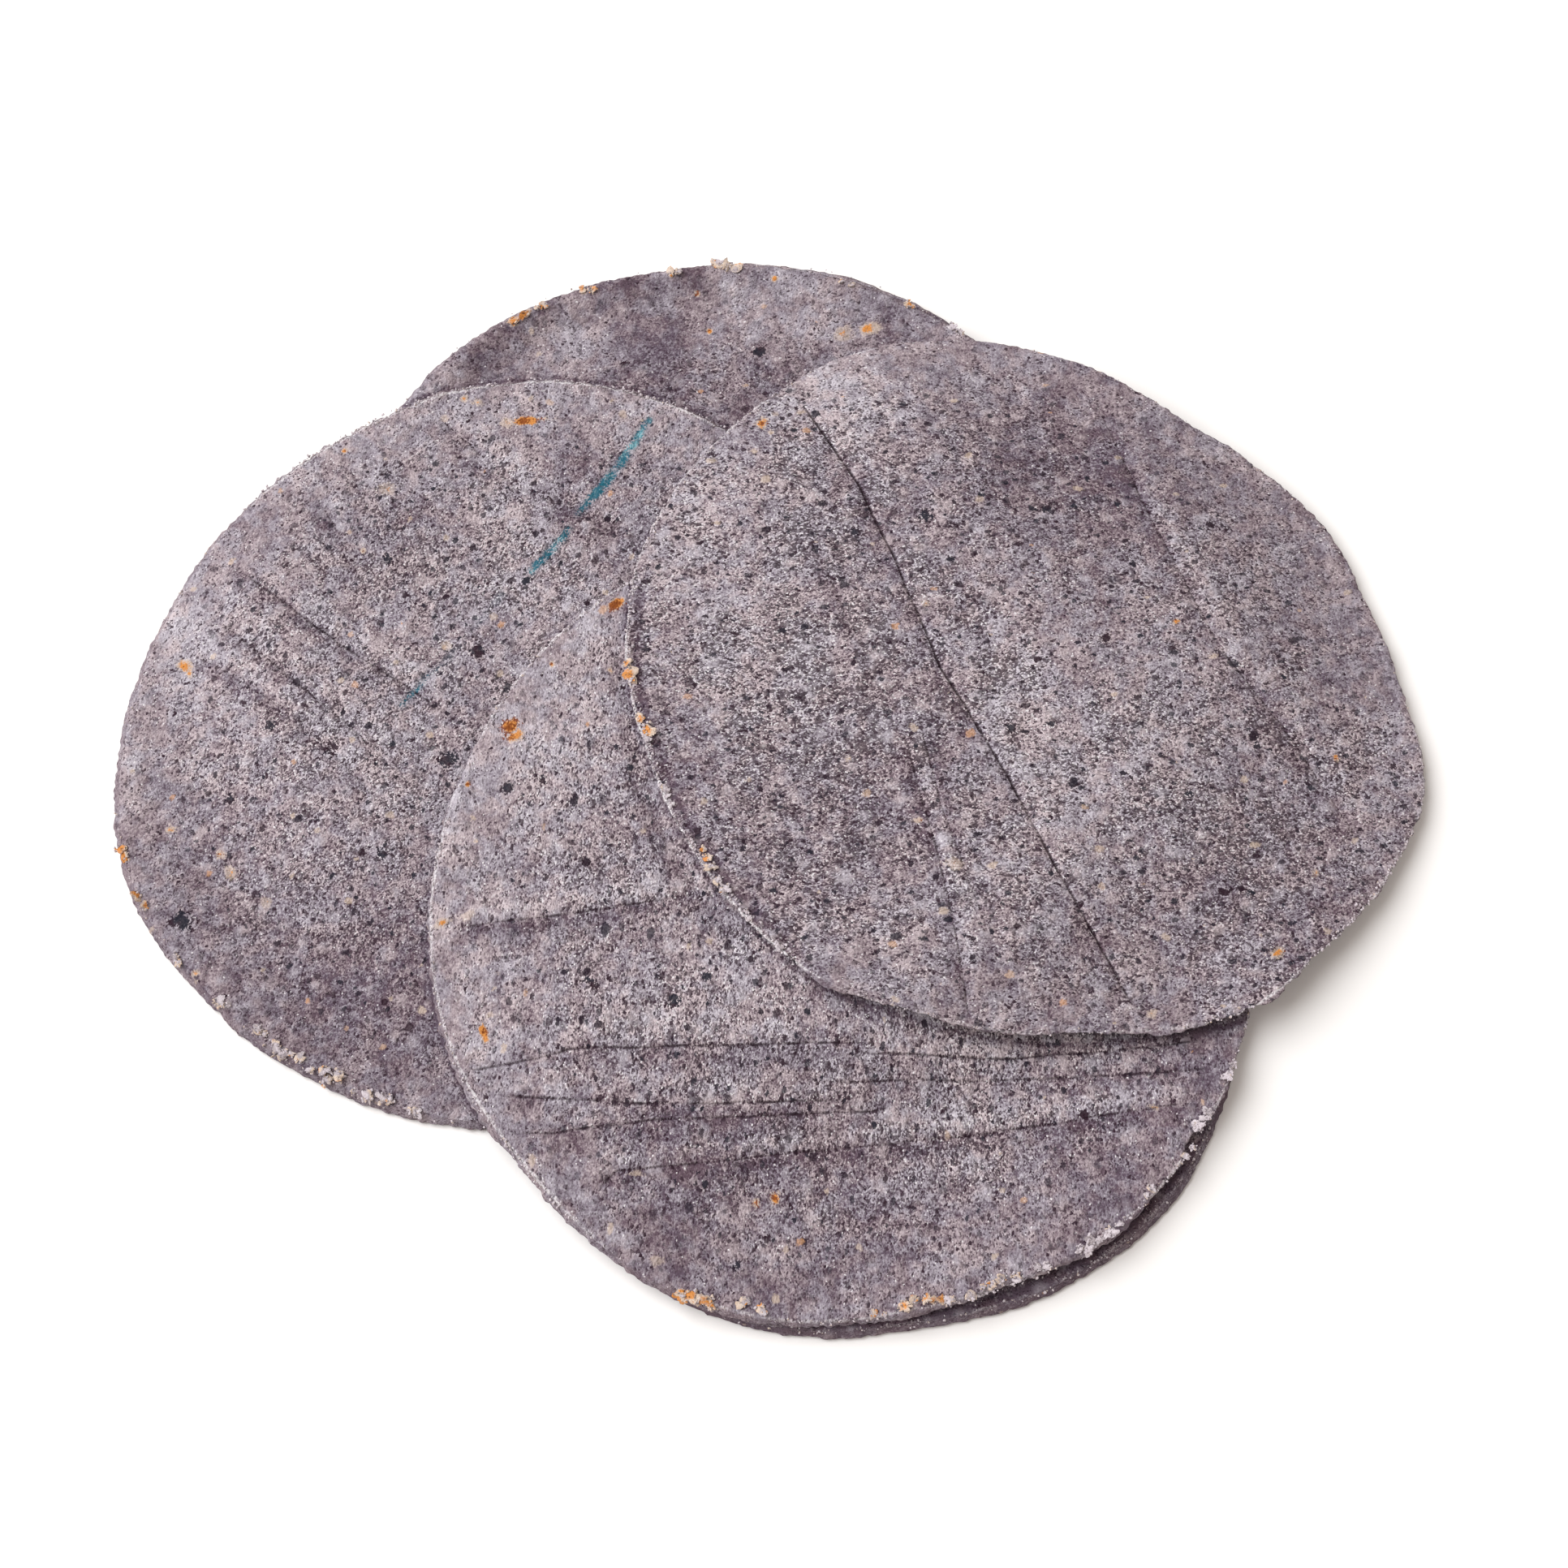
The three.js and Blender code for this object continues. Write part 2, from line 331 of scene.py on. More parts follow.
# Lowest first.
TORTILLAS = [
    Tortilla(
        "tortilla_back_under",
        centre=(-8.1, 34.15),
        radii=(73.6, 73.4, 73.8, 74.8, 74.8, 73.6, 73, 73, 73.6, 74.4, 75, 75, 74.8, 75, 75, 75, 74.6, 74),
        bend=16,
        set_back=(0.9, 0, 0),
        fineness=0.28,
    ),
    Tortilla(
        "tortilla_back",
        centre=(-9.8, 32.45),
        radii=(
            76.5, 76.8, 76.5, 74.7, 73.1, 72.3, 73.1, 74, 74.6,
            75, 75.2, 75.3, 75.3, 75.2, 75.3, 75.4, 75.7, 76,
        ),
        bend=16,
        set_back=(0.8, 0, 0),
        curls=[(103, 38, 12, 10, 2.2)],
        folds=[
            Fold([(-14, 97), (-17, 88), (-14, 80)], depth=0.25, width=2.5, dark=0.35),
        ],
        toasted=[
            (-49.5, 91.7, 1.2, 0.9), (-46.8, 93.8, 0.9, 0.95), (-46, 90.1, 0.8, 0.6),
            (-36.3, 98.3, 0.8, 0.7), (-13.9, 98.9, 0.9, 0.75), (-11.5, 90.8, 0.8, 0.8),
            (19.6, 91.3, 1.7, 0.62, 1.3, 8), (14.4, 90.2, 2.0, 0.35), (1, 101.5, 0.7, 0.8),
            (30, 88, 0.8, 0.85),
        ],
        husks=[(-28, 84, 0.9), (-2, 86, 1.1), (8, 80, 0.9)],
        blooms=[
            (-39, 90, 7, 0.3), (-4.5, 95, 12, 0.6), (-51, 90, 4, -1.2), (-57, 84, 4, -1.2),
            (-43, 95, 3.5, -1.1), (-18.5, 80.8, 11, -1.0), (-27, 101.5, 4, -1.1), (-15, 103.5, 4, -1.1),
            (-3, 104, 4, -0.9), (24, 84, 8, -1.0), (14, 101, 5, -0.8), (2, 80, 8, -0.5),
            (-10, 90, 40, -0.35),
        ],
        crumbs=[
            (89, 0.6, 3.8, 1.6, 1.5, 0.7), (111, 1.3, 2.4, 1.2, 0.6, 0.85), (123, 1.6, 2.4, 1.6, 1.1, 0.9),
            (119, 1.4, 1.6, 1.2, 0.6, 0.8), (97, 1.2, 1.8, 1, 0.6, 0.7), (70, 1.2, 2, 1, 0.7, 0.6),
            (52, 1.2, 1.8, 1, 0.6, 0.3), (60, 1, 1.4, 0.9, 0.6, 0.8),
        ],
        grain_turn=20,
        grain_stretch=1.2,
        grit=0.6,
        fineness=0.8,
    ),
    Tortilla(
        "tortilla_left",
        centre=(-45.5, 3.05),
        radii=(
            74.4, 74.4, 74.6, 75.1, 76.1, 75.3, 72.9, 73.2, 73.6,
            75.1, 76.4, 74.6, 73.8, 73.8, 73.8, 74, 74.2, 74.3,
        ),
        bend=40,
        set_back=(1.1, 0.2, -110),
        folds=[
            Fold([(-104.4, 41.95), (-79.5, 22.15), (-53.3, 3.85)], 0.4, 0.8, 0.35, 1, 3.5, 0.85, 14, 0.6),
            Fold([(-64.8, 72.15), (-47.3, 54.65), (-24.1, 45.95)], 0.35, 1.2, 0.25, 1, 4, 0.5, stain=0.8),
            Fold([(-87, 55.25), (-78.9, 42.25)], 0.3, 1.0, 0.15, 1, 3, 0.5, stain=0.9),
            Fold([(-107.8, 32.25), (-88, 15), (-66.4, -4.35)], 0.35, 1.0, 0.3, 1, 4, 0.65, 14, stain=0.55),
            Fold([(-110, 24), (-88, 8), (-68, -12)], 0.25, 1.0, 0.2, 1, 3, 0.5, stain=0.8),
        ],
        toasted=[
            (-45.8, 69.5, 1.5, 1.0, 2.7, 4), (-50.5, 69, 1.4, 0.45, 1.4, 3),
            (-55.9, 73.4, 1.2, 0.75, 1.2, -25), (-58.5, 74.4, 0.9, 0.6, 1.2, 60), (-80.7, 62.8, 0.9, 0.9),
            (-76.3, 41.4, 0.8, 0.7), (-109.3, 19.6, 1.5, 0.8, 1.3, -30), (-107.9, 18, 0.9, 0.65, 1.4, -70),
            (-109.6, -13.4, 1.1, 0.7, 1.2, 40), (-100, -18.5, 1.1, 0.55), (-97.9, -22.1, 1.3, 0.42),
            (-103.4, -41.3, 1.0, 0.8, 1.0, 0), (-112, -32.6, 0.8, 0.7), (-62, 70, 1.0, 0.35),
            (-28, 71, 0.9, 0.4), (-72, 55, 1.6, 0.25, 1.3, 20), (-91, -28, 1.3, 0.22), (-60, 22, 1.1, 0.25),
        ],
        husks=[
            (-106.2, -31.8, 2.4), (-58.8, -1.5, 1.9), (-80.4, 0.2, 1.6), (-54.1, 20.4, 1.3),
            (-71.5, 39.5, 1.5), (-92, 6, 1.0), (-70, -20, 1.1), (-99, -8, 0.9),
        ],
        streak=[
            [(-22.9, 69.55, 1.0), (-27.4, 61.65, 1.0), (-31.9, 54.65, 1.1), (-36.1, 49.75, 0.75)],
            [(-37.9, 45.95, 0.8), (-41, 41.5, 0.95), (-44.5, 37.35, 0.85)],
            [(-50, 32, 0.5), (-58, 21, 0.4), (-65.6, 12.05, 0.7), (-67.7, 9.65, 0.7)],
        ],
        blooms=[
            (-78.7, 3.8, 24, 0.35), (-50.2, 51.1, 9, 0.7), (-112.3, 29.4, 10, 0.7),
            (-75.1, -51.5, 22, -1.15), (-105.6, -29.5, 12, -0.7), (-38.1, 54.6, 7, -0.5),
            (-71.6, 47.6, 9, -0.4), (-98.5, 34.6, 7, -0.35), (-75, 66, 12, 0.4), (-48, 66, 8, 0.35),
            (-44.6, 27, 16, 0.45),
        ],
        crumbs=[
            (-125, 1.8, 3.4, 1.8, 1.2, 0.5), (-121, 1.6, 2.8, 1.8, 1.3, 0.6), (-117, 1.4, 3, 2, 1.4, 0.6),
            (-112, 1.6, 2.8, 1.5, 1, 0.4), (-156, 1, 2.2, 1.6, 1, 0.9), (-136, 1.6, 1.6, 1.2, 0.8, 0.4),
            (-164, 0.8, 1.8, 1.2, 0.8, 0.95), (-108, 1.6, 1.8, 1.2, 0.8, 0.5),
            (-104, 1.4, 1.4, 1, 0.7, 0.4), (-129, 1.8, 1.6, 1.2, 0.7, 0.5), (-146, 1.2, 1.4, 1, 0.6, 0.5),
        ],
        pale_rims=[(96, 40, 8, 0.8)],
        grain_turn=55,
        grain_stretch=1.15,
        roughness=1.2,
    ),
    Tortilla(
        "tortilla_front_under",
        centre=(14.8, -34.65),
        radii=(
            72.8, 74, 74.5, 74.8, 75, 75, 75, 74.8, 74.6,
            74.6, 74.4, 72.9, 73.4, 74.3, 73.2, 74.6, 74.9, 72.7,
        ),
        bend=42,
        set_back=(1, 0, 0),
        blooms=[(60, -95, 60, -1.3)],
        pale_rims=[(-60, 60, 12, 0.2)],
        roughness=0.8,
        grit=1.5,
        fineness=0.48,
    ),
    Tortilla(
        "tortilla_front",
        centre=(14.1, -31.35),
        radii=(
            74.6, 74.9, 75.3, 75.5, 75.7, 75.7, 75.5, 74.7, 74.2,
            74.9, 75.8, 75, 76.5, 76.9, 75, 75.5, 75.3, 74.5,
        ),
        bend=44,
        set_back=(0.25, 0.65, -115),
        overhang=(0.15, 0.35, -35),
        curls=[(-52, 30, 14, 22, 1.2)],
        folds=[
            Fold(
                [(-58.7, -37.2), (-44.4, -35.2), (-28, -33), (-11.2, -29.8)],
                0.3, 0.9, 0.5, 1, 3, 0.8, stain=1.3,
            ),
            Fold(
                [(-32, -86.25), (-26.4, -80.45), (7.6, -76.45), (36.3, -72.95), (77.9, -66.55)],
                0.35, 1.1, 0.35, 1, 3, 0.75, stain=1.1,
            ),
            Fold([(-55.4, -62.8), (-40.3, -60.3), (-35.3, -58.8), (-6.6, -58.5), (19.1, -57.4)], 0.2, 0.6),
            Fold([(-49.5, -66.6), (-20.9, -68.4), (-6.6, -68.5), (16.2, -67.5)], 0.18, 0.6, dark=0.95),
            Fold(
                [(-47.2, -73.6), (-38.4, -73.5), (-19.8, -71.2), (1.9, -70.6), (24, -68.6)],
                0.18, 0.6, dark=0.9,
            ),
            Fold([(14, -59.6), (43.7, -58.9), (80, -55)], 0.2, 0.6, dark=0.9),
            Fold([(7.7, -64.7), (43.6, -62.7), (81.8, -60.6)], 0.18, 0.6, dark=0.85),
            Fold(
                [(-28.5, 27), (-27.7, 17.8), (-25, 1.3), (-20.8, -14.8), (-12.6, -29.9), (-2.4, -41.5)],
                0.4, 2.0, dark=0.15, stain=0.85,
            ),
        ],
        toasted=[
            (-28.1, 27.8, 1.5, 1.0, 1.6, 35), (-39.9, 15.3, 0.6, 0.8), (-47.2, 2.6, 1.6, 1.1, 1.2, 60),
            (-46, 0.8, 1.4, 0.9, 1.3, 15), (-54.6, -8.7, 0.7, 0.9, 1.3, 70),
            (-58.3, -35.8, 1.2, 0.5, 1.8, 20), (-53.5, -34.4, 1.1, 0.3, 1.8, 12),
            (-50.3, -55.6, 1.1, 1.0, 1.5, 95), (-49, -52.6, 0.7, 0.35), (-47.8, -45.1, 0.7, 0.3, 1.6, -10),
            (-2, -85.7, 1.1, 0.75), (1.2, -84.9, 0.9, 0.8, 1.2, 90), (-23.2, -80.8, 1.0, 0.42, 1.8, 0),
            (68, -67.9, 0.9, 0.75, 1.3, 0), (41, -83, 0.8, 0.45), (-29, 14, 0.7, 0.6),
            (-52.6, -20, 0.6, 0.6), (-18.9, -96, 1.2, 0.3, 1.4, 0),
        ],
        husks=[
            (-32.3, -46.8, 1.0), (-30.7, -47.6, 1.0), (-16.7, -50.9, 1.3), (-11.5, -35.3, 0.9),
            (-47.3, -9.7, 1.2), (-5.5, -96.8, 1.0), (-11, -46.2, 0.8), (-41, -8, 0.9), (22, -62, 0.9),
        ],
        blooms=[
            (-45.3, -3.5, 19, 0.8), (-30, 14, 12, 0.5), (-44.1, -48.9, 12, 0.6), (36.5, -57.9, 17, 0.6),
            (-13.7, -74.7, 12, -0.6), (-17.8, -93.3, 12, -0.8), (61.7, -80, 16, -0.65),
            (79.8, -58.8, 10, -0.8), (18.9, -88.6, 12, -0.1), (-5, -45, 16, 0.6), (8, -104, 10, -0.4),
            (80, -45, 8, -0.6), (15, -84, 34, -0.35), (70, -70, 22, -0.25), (24, -101, 15, -0.5),
        ],
        pale_rims=[(130, 24, 8, 0.95), (200, 34, 8, 0.8), (-30, 26, 8, 0.5), (-88, 22, 8, 0.4)],
        nicks=[
            (210, 5, 0.6), (243, 5, 0.45), (256, 6, 0.4), (278, 4, 0.6), (291, 4, -0.7), (307, 6, 0.9),
            (325.5, 3, -1.3), (332, 3, 0.4),
        ],
        crumbs=[
            (-110, 1.4, 5.2, 2.2, 1.5, 0.85), (-103, 1.6, 3.2, 1.6, 1, 0.6),
            (-81, 1.6, 3.6, 1.8, 1.1, 0.75), (-75, 1.2, 3.2, 1.4, 0.9, 0.5), (-68, 1.4, 3, 1.4, 1, 0.6),
            (-56, 0.8, 4, 2, 1.5, 0.1), (-32, 1.2, 3.6, 2, 1.5, 0.1), (-71, 1.4, 1.8, 1, 0.7, 0.6),
            (-63, 1.2, 2, 1.1, 0.8, 0.3), (-24, 0.8, 1.8, 1.2, 0.8, 0.2), (-86, 1.2, 1.6, 1, 0.7, 0.7),
            (-78, 1.4, 1.6, 1, 0.7, 0.85), (-52, 1, 2.2, 1.4, 0.9, 0.2), (-45, 0.9, 1.8, 1.2, 0.7, 0.3),
            (-37, 0.9, 2, 1.2, 0.8, 0.2),
        ],
        lip=0.16,
        grain_turn=86,
        grain_stretch=1.4,
    ),
    Tortilla(
        "tortilla_top",
        centre=(45.9, 14.15),
        radii=(
            72.2, 69.4, 69.1, 66.7, 65.7, 68.8, 72.2, 74.4, 74.4, 73.2, 73.3, 73.4,
            72, 70.3, 70.2, 70.8, 71.8, 70.3, 70.5, 71.8, 76, 75.6, 76.7, 77.3,
        ),
        bend=55,
        undercut=0.9,
        humps=[
            ((8.8, 71.35), (72.8, -43.65), 14, 13, 1.3),
            ((8.8, 71.35), (72.8, -43.65), -17, 13, 0.9),
        ],
        folds=[
            Fold(
                [
                    (5.7, 71.05), (17.1, 50.25), (23, 36.45), (31.6, 13.05),
                    (43, -8.05), (52.7, -28.05), (65.3, -50.95),
                ],
                0.5, 0.6, 0.4, 1, 4, 1.25, 5, stain=0.4,
            ),
            Fold(
                [(61, 77.45), (71.9, 46.05), (82.9, 20.35), (97.2, 0.45), (110.9, -22.75)],
                0.35, 0.9, 0.3, 1, 4, 0.6, 22, stain=0.6,
            ),
            Fold(
                [(24, 2), (26.8, -9.75), (31.6, -28.65), (36, -55.85)],
                0.3, 0.9, 0.2, 1, 2.5, 0.7, stain=0.8,
            ),
            Fold([(6.4, 43.05), (19, 12.85)], 0.22, 1.0, 0.15, 1, 2.5, 0.5, stain=0.7),
            Fold([(27, 4), (31, -14), (39, -38)], 0.2, 0.8, 0.15, -1, 2.5, 0.5),
            Fold([(14.9, -36.35), (22, -46.95)], 0.18, 0.9, dark=0.4, fade=4),
        ],
        toasted=[
            (-1.4, 65.2, 1.4, 0.78, 1.2, 60), (0.2, 63, 0.8, 0.6), (1.2, 67.4, 0.8, 0.35),
            (75.1, 24.3, 0.8, 0.85), (104, -0.8, 0.7, 0.9), (26.8, -17.3, 0.8, 0.6, 1.5, 10),
            (33, -25.6, 1.6, 0.3, 1.2, 0), (91.2, -39.9, 1.3, 0.62, 1.5, 25), (68.2, -51.3, 1.2, 0.5),
            (22, -52.5, 0.8, 0.45), (29, 26, 0.8, 0.4), (14.5, -5, 0.6, 0.6), (99, -24, 0.8, 0.4, 1.4, 60),
        ],
        husks=[
            (29.1, 44.4, 1.3), (16.1, 41.2, 1.1), (52, 47, 1.1), (28.2, 32.9, 0.9), (76.1, -10.7, 1.2),
            (43.9, 0.8, 1.1), (86.6, -28.5, 1.1), (62, 20, 0.9),
        ],
        crumbs=[
            (-179, 0.9, 2.4, 1.7, 1.2, 0.85), (-170, 0.8, 2.8, 1.9, 1.4, 0.8),
            (-146, 1.6, 4.2, 1.6, 1.3, 0.7), (-141, 1, 2.2, 1.5, 1.1, 0.3), (-168, 1, 1.4, 1, 0.7, 0.3),
            (-158, 0.8, 1.2, 0.9, 0.6, 0.2), (-135, 0.8, 1.4, 0.9, 0.6, 0.3),
            (-128, 0.7, 1.2, 0.8, 0.5, 0.2),
        ],
        blooms=[
            (-11.6, 29.8, 17, 0.7), (-12, 52, 10, 0.6), (14.2, 72.8, 12, 0.8), (46.3, 59, 20, -0.85),
            (62.4, 0.4, 22, 0.65), (51.5, -18.9, 14, 0.35), (44.8, 10, 10, 0.5), (100.3, 44, 26, -0.5),
            (95.1, -36.6, 22, -0.5), (22.3, -16.1, 16, -0.3), (-2, 8, 15, 0.6), (70, 60, 16, -0.45),
            (60, -48, 16, -0.35),
        ],
        pale_rims=[
            (-160, 38, 10, 1.0), (150, 26, 10, 0.7), (-90, 30, 10, 0.3), (-46, 20, 6, 0.7),
            (-20, 14, 8, 0.5),
        ],
        nicks=[
            (240, 4, 0.9), (263, 6, 0.45), (276, 5, -0.3), (290, 4, 1.0), (297, 1.2, -0.6), (305, 2.5, 1.0),
            (301, 1, -0.5), (310, 1, 0.4), (314, 3, -0.4),
        ],
        overhang=(0.5, 0.4, -90),
        lip=0.18,
        groove=0.3,
        grain_turn=8,
        grit=0.88,
        grain_stretch=1.3,
    ),
]

for number, tortilla in enumerate(TORTILLAS):
    tortilla.number = number


def ease(share):
    """From 0 at share 0 to 1 at share 1, level at both ends."""
    held = np.clip(share, 0, 1)
    return held**3 * (held * (held * 6 - 15) + 10)


def hill(away, width):
    """A rounded hill: 1 at its middle, falling away over its width."""
    return np.exp(-((away / width) ** 2))


class PlanNoise:
    """Seeded gradient noise over the plan, about -1 to 1."""

    CELLS = 256

    def __init__(self, seed):
        draws = np.random.default_rng(seed)
        self.turns = draws.uniform(0, TURN, (self.CELLS, self.CELLS))

    def __call__(self, x, y, wavelength):
        u = x / wavelength
        v = y / wavelength
        column = np.floor(u).astype(int)
        row = np.floor(v).astype(int)
        u = u - column
        v = v - row

        def corner(step_u, step_v):
            turn = self.turns[(column + step_u) % self.CELLS, (row + step_v) % self.CELLS]
            return np.cos(turn) * (u - step_u) + np.sin(turn) * (v - step_v)

        blend_u = ease(u)
        low = corner(0, 0) * (1 - blend_u) + corner(1, 0) * blend_u
        high = corner(0, 1) * (1 - blend_u) + corner(1, 1) * blend_u
        return 1.5 * (low + (high - low) * ease(v))


def scattered_domes(x, y, spacing, smallest, largest, share, seed):
    """Heights of round domes, one at most in each square of the given spacing, from 0 to 1."""
    draws = np.random.default_rng(seed)
    cells = (DOME_CELLS, DOME_CELLS)
    shift = draws.uniform(0, 1, (2, *cells))
    size = draws.uniform(smallest, largest, cells) / spacing
    size = np.where(draws.uniform(0, 1, cells) < share, size, NO_DOME)
    u = x / spacing
    v = y / spacing
    column = np.floor(u).astype(int)
    row = np.floor(v).astype(int)
    height = np.zeros_like(u)
    for step_u in (-1, 0, 1):
        for step_v in (-1, 0, 1):
            cell = ((column + step_u) % DOME_CELLS, (row + step_v) % DOME_CELLS)
            away = np.hypot(column + step_u + shift[0][cell] - u, row + step_v + shift[1][cell] - v)
            height = np.maximum(height, 1 - (away / size[cell]) ** 2)
    return height


class Sizes:
    """The shared sizes of the stack in millimetres."""

    def __init__(self, settings):
        for key in StackSizes.__annotations__:
            setattr(self, key, getattr(settings, key) / MM)
        self.pitch = (settings.thickness + settings.air_gap) / MM


def polar(tortilla, x, y):
    """Plan distance and angle of points from a tortilla's middle."""
    dx = x - tortilla.centre[0]
    dy = y - tortilla.centre[1]
    return np.hypot(dx, dy), np.arctan2(dy, dx)


def plan_point(tortilla, angle, distance):
    """Plan position at an angle and distance from a tortilla's middle."""
    return tortilla.centre[0] + distance * np.cos(angle), tortilla.centre[1] + distance * np.sin(angle)


def smooth_radius(tortilla, angle):
    """The smooth outline: a closed curve through the tortilla's radii."""
    radii = tortilla.radii
    count = len(radii)
    turn = (angle / TURN) % 1 * count
    first = np.floor(turn).astype(int)
    u = turn - first
    before, here, there, after = (radii[(first + step) % count] for step in (-1, 0, 1, 2))
    slope_in = (there - before) / 2
    slope_out = (after - here) / 2
    rise = there - here
    square = 3 * rise - 2 * slope_in - slope_out
    cube = slope_in + slope_out - 2 * rise
    return here + u * (slope_in + u * (square + u * cube))


def rim_place(tortilla, x, y):
    """How far in from a tortilla's smooth outline points lie, and their angle round its middle."""
    distance, angle = polar(tortilla, x, y)
    return smooth_radius(tortilla, angle) - distance, angle


def turned_from(towards, angle):
    """Degrees from a direction to an angle, from -180 to 180."""
    return (np.degrees(angle) - towards + 180) % 360 - 180


def stretch_share(angle, towards, half_width, fade):
    """How much of a stretch of rim holds at an angle: 1 within it and 0 well past it."""
    return 1 - ease((np.abs(turned_from(towards, angle)) - half_width + fade) / (2 * fade))


def rim_paleness(tortilla, angle):
    """How pale and crumbly a tortilla's rim is at an angle, from 0 to 1."""
    paleness = np.zeros_like(angle)
    for *stretch, strength in tortilla.pale_rims:
        paleness = np.maximum(paleness, strength * stretch_share(angle, *stretch))
    return paleness


def groove_depth(tortilla, paleness, inset):
    """Depth of the pitted groove just inside the most crumbly stretches of a rim."""
    return tortilla.groove * np.clip(3.3 * paleness - 2.3, 0, 1) * hill(inset - GROOVE_INSET, GROOVE_WIDTH)


def rim_roughness(tortilla, angle, sizes):
    """The cut edge's slow ripple and torn teeth, about its smooth outline."""
    number = tortilla.number
    slow = np.sin(17 * angle + number) + np.sin(26 * angle + 2 * number)
    noise = tortilla.noise("rim")
    x = MEAN_RADIUS * np.cos(angle)
    y = MEAN_RADIUS * np.sin(angle)
    torn = 0.6 * noise(x, y, 6.5) + 0.7 * noise(x, y, 2.6) + 0.9 * noise(x, y, 1.2)
    torn = torn * tortilla.roughness * (1 + 0.9 * rim_paleness(tortilla, angle))
    rough = sizes.ripple / 2 * slow + sizes.ragged * torn
    for towards, half_width, depth in tortilla.nicks:
        rough += depth * hill(turned_from(towards, angle), half_width)
    return rough


def swing_at(swing, angle, least):
    """A value that swings round a rim: its mean, how far it swings and the angle it is greatest towards."""
    mean, reach, towards = swing
    return np.maximum(least, mean + reach * np.cos(angle - math.radians(towards)))


def set_back_at(tortilla, angle, sizes):
    """Set-back of the rim's top edge behind its widest line."""
    return swing_at(tortilla.set_back, angle, sizes.least_set_back)


def own_lift(tortilla, x, y):
    """How far a tortilla's own curls and humps raise it."""
    inward, angle = rim_place(tortilla, x, y)
    lift = np.zeros_like(x)
    for *stretch, width, height in tortilla.curls:
        lift += height * ease(1 - inward / width) * stretch_share(angle, *stretch)
    for start, end, offset, width, height in tortilla.humps:
        along = np.subtract(end, start) / np.hypot(*np.subtract(end, start))
        across = (x - start[0]) * -along[1] + (y - start[1]) * along[0]
        lift += height * hill(across - offset, width)
    return lift


def underside_height(tortilla, x, y, sizes):
    """A tortilla lies on each one below it, and comes down smoothly past that one's rim."""
    height = own_lift(tortilla, x, y)
    for lower in TORTILLAS[: tortilla.number]:
        past = -rim_place(lower, x, y)[0]
        height += (sizes.pitch + own_lift(lower, x, y)) * (1 - ease(past / tortilla.bend))
    return height


def bare_share(tortilla, x, y):
    """1 where nothing lies on a tortilla, falling to 0 a few millimetres under one that does."""
    bare = np.ones_like(x)
    for upper in TORTILLAS[tortilla.number + 1 :]:
        bare = np.minimum(bare, 1 - ease(rim_place(upper, x, y)[0] / COVERED_EDGE))
    return bare


def across_fold(fold, x, y, noise):
    """Signed distance across a fold, and how strongly the fold shows there."""
    starts = fold.path[:-1]
    steps = fold.path[1:] - starts
    lengths = np.hypot(steps[:, 0], steps[:, 1])
    reached = np.concatenate([[0], np.cumsum(lengths)])
    best = np.full(x.shape, np.inf)
    signed = np.zeros_like(x)
    along = np.zeros_like(x)
    for start, step, length, before in zip(starts, steps, lengths, reached):
        dx = x - start[0]
        dy = y - start[1]
        share = np.clip((dx * step[0] + dy * step[1]) / length**2, 0, 1)
        away = np.hypot(dx - share * step[0], dy - share * step[1])
        nearer = away < best
        side = np.where(step[0] * dy - step[1] * dx >= 0, 1, -1)
        signed = np.where(nearer, side * away, signed)
        along = np.where(nearer, before + share * length, along)
        best = np.minimum(best, away)
    signed = signed + 0.22 * noise(x, y, 11) + 0.1 * noise(x, y, 3.5)
    strength = ease(along / fold.fade) * ease((reached[-1] - along) / fold.fade)
    return signed, strength * np.clip(1 + 0.6 * noise(x + 40, y, 7), 0.35, 1)


def fold_relief(fold, across, strength):
    """Height of a fold: a narrow valley with a raised shoulder on one side."""
    valley = fold.depth * hill(across, fold.width)
    shoulder = fold.shoulder * hill(across * fold.side - fold.reach, fold.reach)
    return strength * (shoulder - valley)


def surface_relief(tortilla, x, y, sizes):
    """Swells, lumps and pits of a tortilla's top, above and below its mean surface."""
    noise = tortilla.noise("relief")
    turn = math.radians(tortilla.grain_turn)
    along = (x * math.cos(turn) + y * math.sin(turn)) / tortilla.grain_stretch
    across = y * math.cos(turn) - x * math.sin(turn)
    swell = 0.6 * noise(x, y, 19) + 0.5 * noise(x + 50, y, 9.5)
    lumps = noise(along, across, 4.6) + 0.8 * noise(along + 30, across, 2.5)
    lumps = lumps + 0.55 * noise(along, across + 30, 1.4)
    seed = SEEDS["domes"] + tortilla.number
    domes = scattered_domes(x, y, spacing=4.2, smallest=0.9, largest=2.2, share=0.4, seed=seed)
    seed = SEEDS["pits"] + tortilla.number
    pits = scattered_domes(along, across, spacing=3.1, smallest=0.35, largest=0.95, share=0.45, seed=seed)
    clustered = ease(0.5 + 1.2 * noise(x, y + 70, 14))
    return (
        sizes.swell * swell
        + sizes.lump * tortilla.roughness * lumps
        + 0.8 * sizes.lump * domes
        - sizes.pit * tortilla.roughness * pits * clustered
    )


